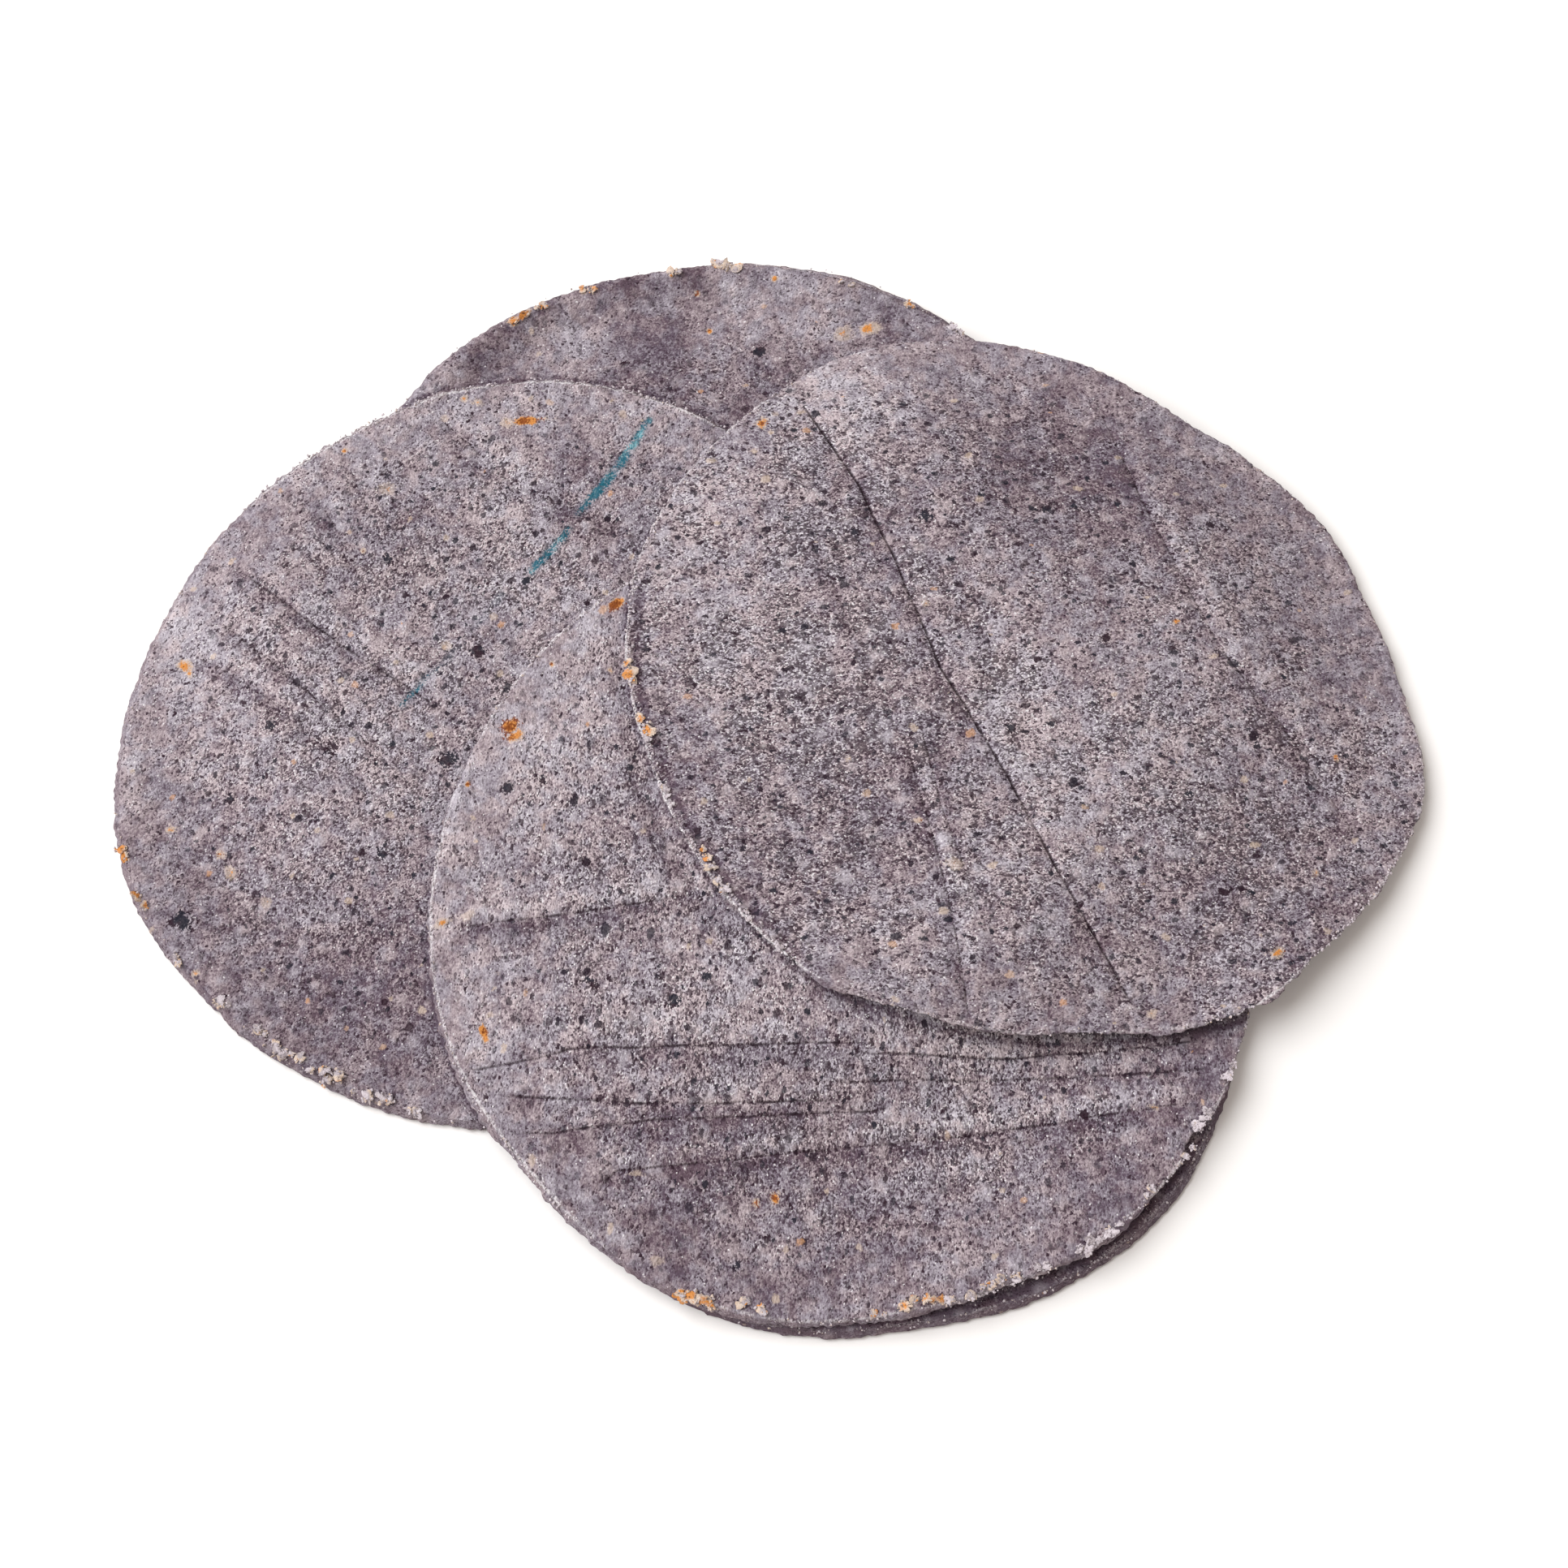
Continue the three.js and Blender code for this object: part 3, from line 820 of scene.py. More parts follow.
def top_height(tortilla, x, y, inset, sizes):
    """Height of a tortilla's top surface, where inset is the distance in from the top edge of its rim."""
    noise = tortilla.noise("folds")
    relief = surface_relief(tortilla, x, y, sizes)
    for fold in tortilla.folds:
        relief += fold_relief(fold, *across_fold(fold, x, y, noise))
    uneven = np.clip(0.7 + 0.7 * noise(x, y, 5), 0, 1.4)
    paleness = rim_paleness(tortilla, polar(tortilla, x, y)[1])
    relief += tortilla.lip * (0.3 + paleness) * uneven * hill(inset - LIP_INSET, LIP_WIDTH)
    relief -= groove_depth(tortilla, paleness, inset) * uneven
    bare = bare_share(tortilla, x, y)
    rounding = sizes.rim_drop * hill(inset, ROUNDING_WIDTH)
    return underside_height(tortilla, x, y, sizes) + sizes.thickness + bare * relief - rounding


def stitch(upper_start, upper_count, lower_start, lower_count):
    """Triangles of the band between two rings of points, whatever the number of points in each."""
    upper_steps = upper_count if upper_count > 1 else 0
    lower_steps = lower_count if lower_count > 1 else 0
    upper_times = (np.arange(upper_steps) + 0.5) / max(upper_steps, 1)
    lower_times = (np.arange(lower_steps) + 0.5) / max(lower_steps, 1)
    order = np.argsort(np.concatenate([lower_times, upper_times]), kind="stable")
    lower_next = order < lower_steps
    lower_done = np.cumsum(lower_next) - lower_next
    upper_done = np.cumsum(~lower_next) - ~lower_next
    upper_point = upper_start + upper_done % upper_count
    lower_point = lower_start + lower_done % lower_count
    upper_after = upper_start + (upper_done + 1) % upper_count
    lower_after = lower_start + (lower_done + 1) % lower_count
    first = np.where(lower_next, lower_point, upper_point)
    second = np.where(lower_next, lower_after, lower_point)
    third = np.where(lower_next, upper_point, upper_after)
    return np.stack([first, second, third], axis=1)


def ring_angles(count):
    """Equal angles round a full turn."""
    return TURN * np.arange(count) / count


def tortilla_rings(tortilla, sizes):
    """All rings of points of a tortilla, from the middle of its top round its rim to the middle below.

    Each point has its place and how far it is below the top edge of the rim.
    """
    rings = []

    def add_ring(x, y, height, drop):
        rings.append(np.stack([x, y, height, np.zeros_like(x) + drop], axis=1))

    def top_ring(angle, distance, inset):
        x, y = plan_point(tortilla, angle, distance)
        add_ring(x, y, top_height(tortilla, x, y, inset, sizes), 0)

    rings_on_top = int(RINGS_ON_TOP * tortilla.fineness)
    for step in range(rings_on_top + 1):
        angle = ring_angles(max(1, 6 * step))
        edge = smooth_radius(tortilla, angle) - set_back_at(tortilla, angle, sizes)
        distance = (edge - RIM_ZONE) * step / rings_on_top
        top_ring(angle, distance, edge - distance)

    angle = ring_angles(int(POINTS_ROUND_RIM * tortilla.fineness))
    outline = smooth_radius(tortilla, angle)
    rough = rim_roughness(tortilla, angle, sizes)
    set_back = set_back_at(tortilla, angle, sizes)
    overhang = swing_at(tortilla.overhang, angle, 0)
    for inset in RIM_INSETS:
        distance = outline - set_back - inset + rough * ease(1 - inset / RIM_ZONE)
        top_ring(angle, distance, np.full_like(angle, inset))

    edge_top = rings[-1][:, 2]
    side_noise = tortilla.noise("side")

    def side_ring(back, share, rise):
        """A ring a share of the way down from the top edge to a rise above the underside."""
        distance = outline + rough - back - overhang * share
        x, y = plan_point(tortilla, angle, distance)
        under = underside_height(tortilla, x, y, sizes)
        height = edge_top + (under + rise - edge_top) * share
        uneven = SIDE_UNEVENNESS * side_noise(MEAN_RADIUS * angle, height + 7 * share, 1.5)
        x, y = plan_point(tortilla, angle, distance + uneven)
        add_ring(x, y, height, edge_top - height)

    for share in SIDE_STEPS:
        side_ring(set_back * (1 - share) ** 1.2, share, sizes.belly)
    side_ring(0, 1, sizes.belly)
    for share in UNDER_STEPS:
        side_ring(tortilla.undercut * share, 1, sizes.belly * (1 - share))

    under_noise = tortilla.noise("underside")

    def lower_ring(ring_angle, distance):
        x, y = plan_point(tortilla, ring_angle, distance)
        uneven = UNDERSIDE_UNEVENNESS * np.abs(under_noise(x, y, 5))
        add_ring(x, y, underside_height(tortilla, x, y, sizes) + uneven, sizes.thickness)

    foot = outline - tortilla.undercut - overhang
    for inset in LOWER_INSETS:
        lower_ring(angle, foot + rough * ease(1 - inset / RIM_ZONE) - inset)
    for step in range(RINGS_BELOW, -1, -1):
        coarse = ring_angles(max(1, 6 * step))
        edge = smooth_radius(tortilla, coarse) - tortilla.undercut - swing_at(tortilla.overhang, coarse, 0)
        lower_ring(coarse, (edge - RIM_ZONE) * step / RINGS_BELOW)
    return rings


def mesh_from_arrays(name, points, triangles):
    """A smooth mesh from points in millimetres and triangles of point numbers."""
    mesh = bpy.data.meshes.new(name)
    mesh.vertices.add(len(points))
    mesh.vertices.foreach_set("co", (points * MM).astype(np.float32).ravel())
    mesh.loops.add(3 * len(triangles))
    mesh.loops.foreach_set("vertex_index", triangles.astype(np.int32).ravel())
    mesh.polygons.add(len(triangles))
    mesh.polygons.foreach_set("loop_start", np.arange(0, 3 * len(triangles), 3, dtype=np.int32))
    mesh.update(calc_edges=True)
    if mesh.validate():
        raise RuntimeError(f"{name}: the mesh has faulty faces")
    mesh.shade_smooth()
    return mesh


def store(mesh, name, values):
    """Keeps one number, or three, for each point of a mesh, for its material to read."""
    kind, field = ("FLOAT_VECTOR", "vector") if values.ndim == 2 else ("FLOAT", "value")
    attribute = mesh.attributes.new(name, kind, "POINT")
    attribute.data.foreach_set(field, np.ascontiguousarray(values, dtype=np.float32).ravel())


def spot_field(spots, x, y):
    """How deep points lie in the nearest spot, 1 at its middle and 0 at its edge, and that spot's heat."""
    depth = np.full_like(x, -1.0)
    heats = np.zeros_like(x)
    for spot in spots:
        spot_x, spot_y, radius, heat, stretch, turn = (*spot, *PLAIN_SPOT[len(spot) - 3 :])
        c = math.cos(math.radians(turn))
        s = math.sin(math.radians(turn))
        along = ((x - spot_x) * c + (y - spot_y) * s) / (radius * stretch)
        across = ((y - spot_y) * c - (x - spot_x) * s) / (radius / stretch**0.5)
        here = 1 - np.hypot(along, across)
        heats = np.where(here > depth, heat, heats)
        depth = np.maximum(depth, here)
    return depth, heats


def bloom_field(tortilla, x, y, inset, paleness):
    """Floury and moist dough above and below 0, with painted light and painted shade where the dough turns
    towards or away from the light.

    The folds add painted light on one side and painted shade on the other, and painted shade darkens the
    groove and the places where the tortillas on it meet it.
    """
    noise = tortilla.noise("folds")
    # Painted shade in the groove inside a crumbly rim.
    field = -GROOVE_PAINTED_SHADE * groove_depth(tortilla, paleness, inset)
    for bloom_x, bloom_y, radius, strength in tortilla.blooms:
        field += strength * np.exp(-(((x - bloom_x) ** 2 + (y - bloom_y) ** 2) / radius**2))
    # Painted shade along the rims of the tortillas that lie on this one, shifted outwards at their backs.
    for upper in TORTILLAS[tortilla.number + 1 :]:
        inward, angle = rim_place(upper, x, y)
        past = -inward - np.maximum(0, CONTACT_SHIFT * np.sin(angle))
        field -= CONTACT_PAINTED_SHADE * hill(past, CONTACT_WIDTH)
    # Painted light on each fold's shoulder side and painted shade on its other side.
    for fold in tortilla.folds:
        across, shown = across_fold(fold, x, y, noise)
        across = across * fold.side / fold.reach
        painted_light = 0.8 * np.exp(-((across - 0.75) ** 2) * 3)
        field += fold.stain * shown * (painted_light - np.exp(-((across + 0.35) ** 2) * 3))
    return field


def streak_field(streaks, x, y):
    """Strength of a thin smear of colour along some strokes."""
    field = np.zeros_like(x)
    for streak in streaks:
        for (x0, y0, s0), (x1, y1, s1) in zip(streak[:-1], streak[1:]):
            step = (x1 - x0, y1 - y0)
            share = np.clip(((x - x0) * step[0] + (y - y0) * step[1]) / (step[0] ** 2 + step[1] ** 2), 0, 1)
            away = np.hypot(x - x0 - share * step[0], y - y0 - share * step[1])
            field = np.maximum(field, (s0 + (s1 - s0) * share) * np.clip(1.1 - away / SMEAR_WIDTH, 0, 1))
    return field


def store_marks(mesh, tortilla, points, inset):
    """Gives a tortilla's mesh the fields that its material paints from: the painted shade of its folds, its
    blooms with their painted light and shade, its spots and its rim.
    """
    x = points[:, 0]
    y = points[:, 1]
    distance, angle = polar(tortilla, x, y)
    # The grain of the upright side carries on from that of the top, as if the side were folded outwards.
    grain_x, grain_y = plan_point(tortilla, angle, distance + SIDE_GRAIN * points[:, 3])
    store(mesh, "grain_place", np.stack([grain_x, grain_y, 0 * x], axis=1) * MM)
    noise = tortilla.noise("folds")
    for first in range(0, len(tortilla.folds), FOLDS_IN_ATTRIBUTE):
        distances = np.full((len(points), FOLDS_IN_ATTRIBUTE), FOLD_REACH)
        strengths = np.zeros((len(points), FOLDS_IN_ATTRIBUTE))
        for column, fold in enumerate(tortilla.folds[first : first + FOLDS_IN_ATTRIBUTE]):
            across, strength = across_fold(fold, x, y, noise)
            distances[:, column] = np.clip(across, -FOLD_REACH, FOLD_REACH)
            # Strength of the painted shade along each fold's line.
            strengths[:, column] = strength * fold.dark
        number = first // FOLDS_IN_ATTRIBUTE
        store(mesh, f"fold_distance_{number}", distances)
        store(mesh, f"crease_shade_strength_{number}", strengths)
    toasted_depth, toasted_heat = spot_field(tortilla.toasted, x, y)
    paleness = rim_paleness(tortilla, angle)
    store(mesh, "toasted_depth", toasted_depth)
    store(mesh, "toasted_heat", toasted_heat)
    store(mesh, "husk_depth", spot_field(tortilla.husks, x, y)[0])
    store(mesh, "streak", streak_field(tortilla.streak, x, y))
    store(mesh, "bloom_and_painted_shading", bloom_field(tortilla, x, y, inset, paleness))
    store(mesh, "rim_inset", np.clip(inset, *INSETS_KEPT))
    store(mesh, "rim_paleness", paleness)


def place_object(name, data):
    """A new object of the scene that holds a mesh, a light or a camera."""
    made = bpy.data.objects.new(name, data)
    bpy.context.scene.collection.objects.link(made)
    return made


def finish_piece(name, mesh, material):
    """Places a mesh as a piece of the stack that rides with it."""
    piece = place_object(name, mesh)
    mesh.materials.append(material)
    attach(piece, "root")
    return piece


def bake_tortilla(context, name):
    """Builds one tortilla in place of its solid."""
    tortilla = next(each for each in TORTILLAS if each.name == name)
    sizes = Sizes(context.scene.stack_sizes)
    rings = tortilla_rings(tortilla, sizes)
    counts = [len(ring) for ring in rings]
    starts = np.concatenate([[0], np.cumsum(counts)])
    bands = [stitch(starts[k - 1], counts[k - 1], starts[k], counts[k]) for k in range(1, len(rings))]
    points = np.concatenate(rings)
    mesh = mesh_from_arrays(name, points[:, :3], np.concatenate(bands))
    distance, angle = polar(tortilla, points[:, 0], points[:, 1])
    inset = smooth_radius(tortilla, angle) - set_back_at(tortilla, angle, sizes) - distance
    store_marks(mesh, tortilla, points, inset)
    material = dough_material(context.scene.dough_colours, tortilla)
    piece = finish_piece(f"baked_{tortilla.slot}", mesh, material)
    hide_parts(name)


# Materials


class Field:
    """A value or colour over a surface, which is an output of a node.

    Sums, differences, products and comparisons of fields are Math nodes of the same tree.
    """

    def __init__(self, socket):
        self.socket = socket
        self.tree = socket.id_data

    def __add__(self, other):
        return maths("ADD", self, other)

    def __sub__(self, other):
        return maths("SUBTRACT", self, other)

    def __rsub__(self, other):
        return maths("SUBTRACT", other, self)

    def __mul__(self, other):
        return maths("MULTIPLY", self, other)

    def __lt__(self, other):
        return maths("LESS_THAN", self, other)

    def __gt__(self, other):
        return maths("GREATER_THAN", self, other)


def put(socket, value):
    """Links a field to an input, or sets a plain value on it."""
    if isinstance(value, Field):
        value.tree.links.new(value.socket, socket)
    elif socket.type == "RGBA":
        socket.default_value = (*value, 1.0)
    else:
        socket.default_value = value


def add_node(tree, kind, values=None, **settings):
    """Adds a shader node, sets its own settings and its inputs, and gives its outputs as fields."""
    node = tree.nodes.new(kind)
    for key, value in settings.items():
        setattr(node, key, value)
    for key, value in (values or {}).items():
        put(node.inputs[key], value)
    return [Field(output) for output in node.outputs]


def tree_of(values):
    """The node tree that some fields, among plain values, belong to."""
    return next(value.tree for value in values if isinstance(value, Field))


def maths(operation, *values, clamp=False):
    """A Math node's result."""
    given = dict(enumerate(values))
    return add_node(tree_of(values), "ShaderNodeMath", given, operation=operation, use_clamp=clamp)[0]


def vector_maths(operation, *values):
    """A Vector Math node's outputs: a vector and a value."""
    return add_node(tree_of(values), "ShaderNodeVectorMath", dict(enumerate(values)), operation=operation)


def remap(value, low, high, to_low=0.0, to_high=1.0, way="SMOOTHSTEP"):
    """A value carried from one range to another and held within it."""
    given = {"Value": value, "From Min": low, "From Max": high, "To Min": to_low, "To Max": to_high}
    return add_node(value.tree, "ShaderNodeMapRange", given, interpolation_type=way, clamp=True)[0]


def paint(under, over, mask, blend="MIX"):
    """One colour laid over another through a mask."""
    given = {0: mask, 6: under, 7: over}
    return add_node(tree_of(given.values()), "ShaderNodeMix", given, data_type="RGBA", blend_type=blend)[2]


def noise_texture(place, scale, detail, roughness):
    """Value and colour of cloudy noise."""
    given = {"Vector": place, "Scale": scale, "Detail": detail, "Roughness": roughness}
    return add_node(place.tree, "ShaderNodeTexNoise", given, noise_dimensions="2D")


def grain_texture(place, scale):
    """Distance, colour and middle of the grain that each point lies in."""
    given = {"Vector": place, "Scale": scale}
    return add_node(place.tree, "ShaderNodeTexVoronoi", given, voronoi_dimensions="2D")[:3]


def three_of(colour):
    """A colour's three parts as values."""
    return add_node(colour.tree, "ShaderNodeSeparateColor", {0: colour})


def moved(place, **change):
    """Places moved, turned or scaled."""
    return add_node(place.tree, "ShaderNodeMapping", {"Vector": place, **change})[0]


def read_mesh(tree, name):
    """What a mesh keeps at its points under a name: as three numbers and as one."""
    return add_node(tree, "ShaderNodeAttribute", attribute_name=name, attribute_type="GEOMETRY")[1:3]


# Inputs and outputs of the node groups that hold three numbers each. The others hold one.
VECTOR_SOCKETS = ("Place", "Grain place", "Fleck place", "Distances", "Strengths")


def new_group(name, inputs, outputs):
    """A node group with named inputs, whose values are their defaults, and outputs.

    Gives the group, its inputs as fields and its end node.
    """
    group = bpy.data.node_groups.new(name, "ShaderNodeTree")
    for label in (*inputs, *outputs):
        way = "INPUT" if label in inputs else "OUTPUT"
        kind = "NodeSocketVector" if label in VECTOR_SOCKETS else "NodeSocketFloat"
        socket = group.interface.new_socket(label, in_out=way, socket_type=kind)
        if inputs.get(label) is not None:
            socket.default_value = inputs[label]
    start = group.nodes.new("NodeGroupInput")
    return group, {label: Field(start.outputs[label]) for label in inputs}, group.nodes.new("NodeGroupOutput")


def use_group(tree, build, values):
    """Places the node group that a function builds, built on its first use, with its own values."""
    node = tree.nodes.new("ShaderNodeGroup")
    node.node_tree = bpy.data.node_groups.get(build.__name__) or build()
    for label, value in values.items():
        put(node.inputs[label], value)
    return {output.name: Field(output) for output in node.outputs}


def husk_flecks():
    """Scattered bits of husk: a mask, and a random shade for each bit."""
    inputs = {"Place": None, "Spacing": 0.001, "Share": 0.5, "Radius": 0.4, "Softness": 0.4}
    group, given, end = new_group("husk_flecks", inputs, ("Mask", "Shade"))
    distance, colour, _ = grain_texture(given["Place"], maths("DIVIDE", 1.0, given["Spacing"]))
    chance, shade, depth = three_of(colour)
    present = remap(chance, 1.0 - given["Share"], 1.0, way="LINEAR")
    radius = maths("SQRT", present) * given["Radius"]
    inner = radius * (1.0 - given["Softness"])
    mask = remap(distance, inner, radius + 1e-4, 1.0, 0.0)
    depth = (present > 0.001) * remap(depth, 0.0, 1.0, 0.75, 1.0, way="LINEAR")
    put(end.inputs["Mask"], mask * depth)
    put(end.inputs["Shade"], shade)
    return group


def corn_meal():
    """The coarse meal of the dough: its tone about 0 to 1, dark grains, painted highlights, and its relief.
    """
    inputs = {"Place": None, "Grain place": None, "Grit": 1.0, "Bloom and painted shading": 0.0}
    outputs = ("Tone", "Pepper", "Glint", "Luck", "Ragged", "Other ragged", "Height", "Fleck place", "Warmth")
    group, given, end = new_group("corn_meal", inputs, outputs)
    place, grain_place, grit, bloom_and_painted_shading = given.values()

    def about(value, gain):
        return (value - 0.5) * gain

    fine, fine_colour = noise_texture(place, FINE_MEAL, 1.0, 0.9)
    coarse, coarse_colour = noise_texture(place, COARSE_MEAL, 1.5, 0.7)
    lumps, lump_colour = noise_texture(place, LUMPY_MEAL, 1.5, 0.65)
    patches = noise_texture(place, PATCHY_MEAL, 2.0, 0.6)[0]
    _, tiny_colour, tiny_middle = grain_texture(grain_place, TINY_GRAINS)
    small_distance, small_colour, _ = grain_texture(grain_place, SMALL_GRAINS)
    luck, glint_luck, tiny_shade = three_of(tiny_colour)
    small_luck, small_pepper, small_shade = three_of(small_colour)
    coarse_tone, coarse_warmth, coarse_ragged = three_of(coarse_colour)
    lump_warmth = three_of(lump_colour)[1]

    mixed = about(patches, 0.5) + about(lumps, 0.9) + 0.5
    density = remap(mixed, 0.35, 0.65, 0.35, 1.6) * grit
    crispness = remap(grit, 0.3, 1.1, 0.5, 1.15, way="LINEAR")
    tone = (about(fine, 1.05) + about(tiny_shade, 0.5)) * crispness
    tone = tone + about(small_shade, 0.3) + about(coarse_tone, 0.75) + about(lumps, 0.55)
    # The blooms add painted light and painted shade to the tone, as well as floury and moist patches.
    tone = tone + about(patches, 0.6) + bloom_and_painted_shading * 0.29 + 0.5
    dark_tiny = luck < density * 0.185
    dark_small = small_luck < density * 0.115
    small_depth = dark_small * remap(small_pepper, 0.0, 1.0, 0.4, 1.0, way="LINEAR")
    # How many grains get a painted highlight: more where the blooms are pale.
    painted_highlight_share = remap(bloom_and_painted_shading, -0.6, 0.8, 0.3, 1.3)
    height = fine * 0.25 + tiny_shade * 0.12 + coarse + small_distance * -0.3 + dark_small * -0.35
    warmth = about(coarse_warmth, 0.9) + about(lump_warmth, 1.1) + 0.5

    # Flecks take their places from the grains, pulled about by the noise, so that their outlines are ragged.
    snap = {0: 0.4, 4: grain_place, 5: tiny_middle}
    fleck_place = add_node(group, "ShaderNodeMix", snap, data_type="VECTOR")[1]
    for colour, reach in ((coarse_colour, 0.0012), (fine_colour, 0.0007)):
        pull = vector_maths("SUBTRACT", colour, (0.5, 0.5, 0.5))[0]
        fleck_place = vector_maths("MULTIPLY_ADD", pull, (reach, reach, 0.0), fleck_place)[0]

    results = (
        tone,
        maths("MAXIMUM", dark_tiny * 0.8, small_depth),
        glint_luck < density * painted_highlight_share * 0.04,
        luck,
        about(coarse_warmth, 1.6),
        about(coarse_ragged, 1.6),
        height,
        fleck_place,
        remap(warmth, 0.3, 0.7),
    )
    for label, result in zip(outputs, results):
        put(end.inputs[label], result)
    return group


def fold_lines():
    """Painted shade along three folds, from the distances across them and how strongly each shows."""
    inputs = {"Distances": None, "Strengths": None, "Width": 0.5}
    group, given, end = new_group("fold_lines", inputs, ("Mask",))
    away = vector_maths("ABSOLUTE", given["Distances"])[0]
    shrink = maths("DIVIDE", 1.0, given["Width"])
    widths = add_node(group, "ShaderNodeVectorMath", {0: away, "Scale": shrink}, operation="SCALE")[0]
    near = vector_maths("SUBTRACT", (1, 1, 1), widths)[0]
    held = vector_maths("MAXIMUM", near, (0, 0, 0))[0]
    put(end.inputs["Mask"], vector_maths("DOT_PRODUCT", held, given["Strengths"])[1])
    return group


def tone_ramp(tone, colours):
    """The dough's colour from its tone: dusky, plain and pale dough."""
    node = tone.tree.nodes.new("ShaderNodeValToRGB")
    put(node.inputs[0], tone)
    node.color_ramp.elements.new(0.5)
    stops = (colours.dusky_dough, colours.dough, colours.pale_dough)
    for element, position, colour in zip(node.color_ramp.elements, (0.0, 0.5, 1.0), stops):
        element.position = position
        element.color = (*colour, 1.0)
    return Field(node.outputs[0])


def new_material(name):
    """A new material, and its Principled shader."""
    material = bpy.data.materials.new(name)
    material.use_nodes = True
    return material, material.node_tree.nodes["Principled BSDF"]


def wire_shader(shader, colour, roughness, height, bump):
    """Links a shader's colour and roughness, and the relief of its surface by a bump of the given height."""
    put(shader.inputs["Base Color"], colour)
    put(shader.inputs["Roughness"], roughness)
    given = {"Height": height, "Strength": 1.0, "Distance": bump}
    put(shader.inputs["Normal"], add_node(colour.tree, "ShaderNodeBump", given)[0])


def dough_material(colours, tortilla):
    """Baked blue corn dough: mottled meal, painted highlights, husk and kernel bits, folds with painted
    shade, a dry rim.
    """
    material, shader = new_material(f"dough_{tortilla.slot}")
    tree = material.node_tree
    shift = (0.37 * tortilla.number + 1.0, 0.19 * tortilla.number + 1.0, 0.0)
    place = moved(read_mesh(tree, "grain_place")[0], Location=shift)
    turned = moved(place, Rotation=(0, 0, -math.radians(tortilla.grain_turn)))
    grain_place = moved(turned, Scale=(1 / tortilla.grain_stretch, 1, 1))
    bloom_and_painted_shading = read_mesh(tree, "bloom_and_painted_shading")[1]
    inset = read_mesh(tree, "rim_inset")[1]
    paleness = read_mesh(tree, "rim_paleness")[1]
    grit = remap(inset, 0.0, 26.0, 0.4 * tortilla.grit, 1.1 * tortilla.grit)
    grit = grit + paleness * (3.0 * tortilla.groove)
    given = {"Place": place, "Grain place": grain_place, "Grit": grit, "Bloom and painted shading": bloom_and_painted_shading}
    meal = use_group(tree, corn_meal, given)
    luck = meal["Luck"]
    ragged = meal["Ragged"]
    other_ragged = meal["Other ragged"]

    def bits(kind):
        labels = ("Place", "Spacing", "Share", "Radius", "Softness")
        return use_group(tree, husk_flecks, dict(zip(labels, (meal["Fleck place"], *BITS[kind]))))

    # Meal, with bits of kernel and flecks of husk.
    colour = tone_ramp(meal["Tone"], colours)
    tint = paint(COOL_TINT, WARM_TINT, meal["Warmth"])
    kernel = maths("MAXIMUM", bits("big kernel")["Mask"], bits("small kernel")["Mask"] * 0.7)
    shown = remap(grit, 0.4, 0.9, 0.45, 1.0)
    colour = paint(colour, colours.pale_dough, kernel * (shown * 0.5))
    colour = paint(colour, tint, 1.0, blend="MULTIPLY")
    # Painted highlights on bright grains of the meal.
    colour = paint(colour, colours.glint, meal["Glint"] * 0.85)
    colour = paint(colour, colours.grain_shadow, meal["Pepper"] * (1.0 - kernel * 0.7))
    for kind, strength in HUSK_STRENGTHS.items():
        husk = bits(kind)
        husk_colour = paint(colours.plum_fleck, colours.navy_fleck, husk["Shade"])
        colour = paint(colour, husk_colour, husk["Mask"] * (shown * strength))
    tip = bits("kernel tip")
    tip_colour = paint(colours.cream, colours.toasted, remap(tip["Shade"], 0.5, 1.0, 0.0, 0.7))
    colour = paint(colour, tip_colour, tip["Mask"] * 0.65)

    # Toasted spots, large husks and the smear.
    grain = meal["Tone"] - 0.5 - bloom_and_painted_shading * 0.29
    toasted = read_mesh(tree, "toasted_depth")[1] + (ragged * 0.9 + grain * 0.7)
    heat = read_mesh(tree, "toasted_heat")[1]
    warmed = maths("MULTIPLY", heat + 0.25, 0.75, clamp=True)
    colour = paint(colour, colours.cream, remap(toasted, -0.1, 0.5, 0.0, warmed))
    hot = toasted + other_ragged * 0.5 + (heat - 1.0) * 1.1
    colour = paint(colour, colours.toasted, remap(hot, 0.12, 0.5, 0.0, 0.95))
    burnt = hot - (other_ragged * 0.9 + grain * 2.6) + (heat - 1.0)
    colour = paint(colour, colours.scorched, remap(burnt, 0.35, 0.8, 0.0, 0.9))
    husk_depth = read_mesh(tree, "husk_depth")[1] + (ragged * 1.2 - grain * 1.1)
    husk_colour = paint(colours.navy_fleck, colours.plum_fleck, remap(other_ragged, -0.2, 0.2))
    colour = paint(colour, husk_colour, remap(husk_depth, 0.1, 0.3) * 0.92)
    smear = read_mesh(tree, "streak")[1]
    haze = remap(smear + ragged * 0.5, 0.1, 1.0, 0.0, 0.35)
    colour = paint(colour, colours.teal, haze)
    broken = ragged * 1.1 + other_ragged * 0.6 - grain * 1.5
    streak = (smear + broken) * remap(smear, 0.2, 0.8)
    streak_colour = paint(colours.teal, colours.pale_teal, remap(grain + other_ragged, -0.1, 0.45))
    colour = paint(colour, streak_colour, remap(streak, 0.4, 1.0, 0.0, 0.85))

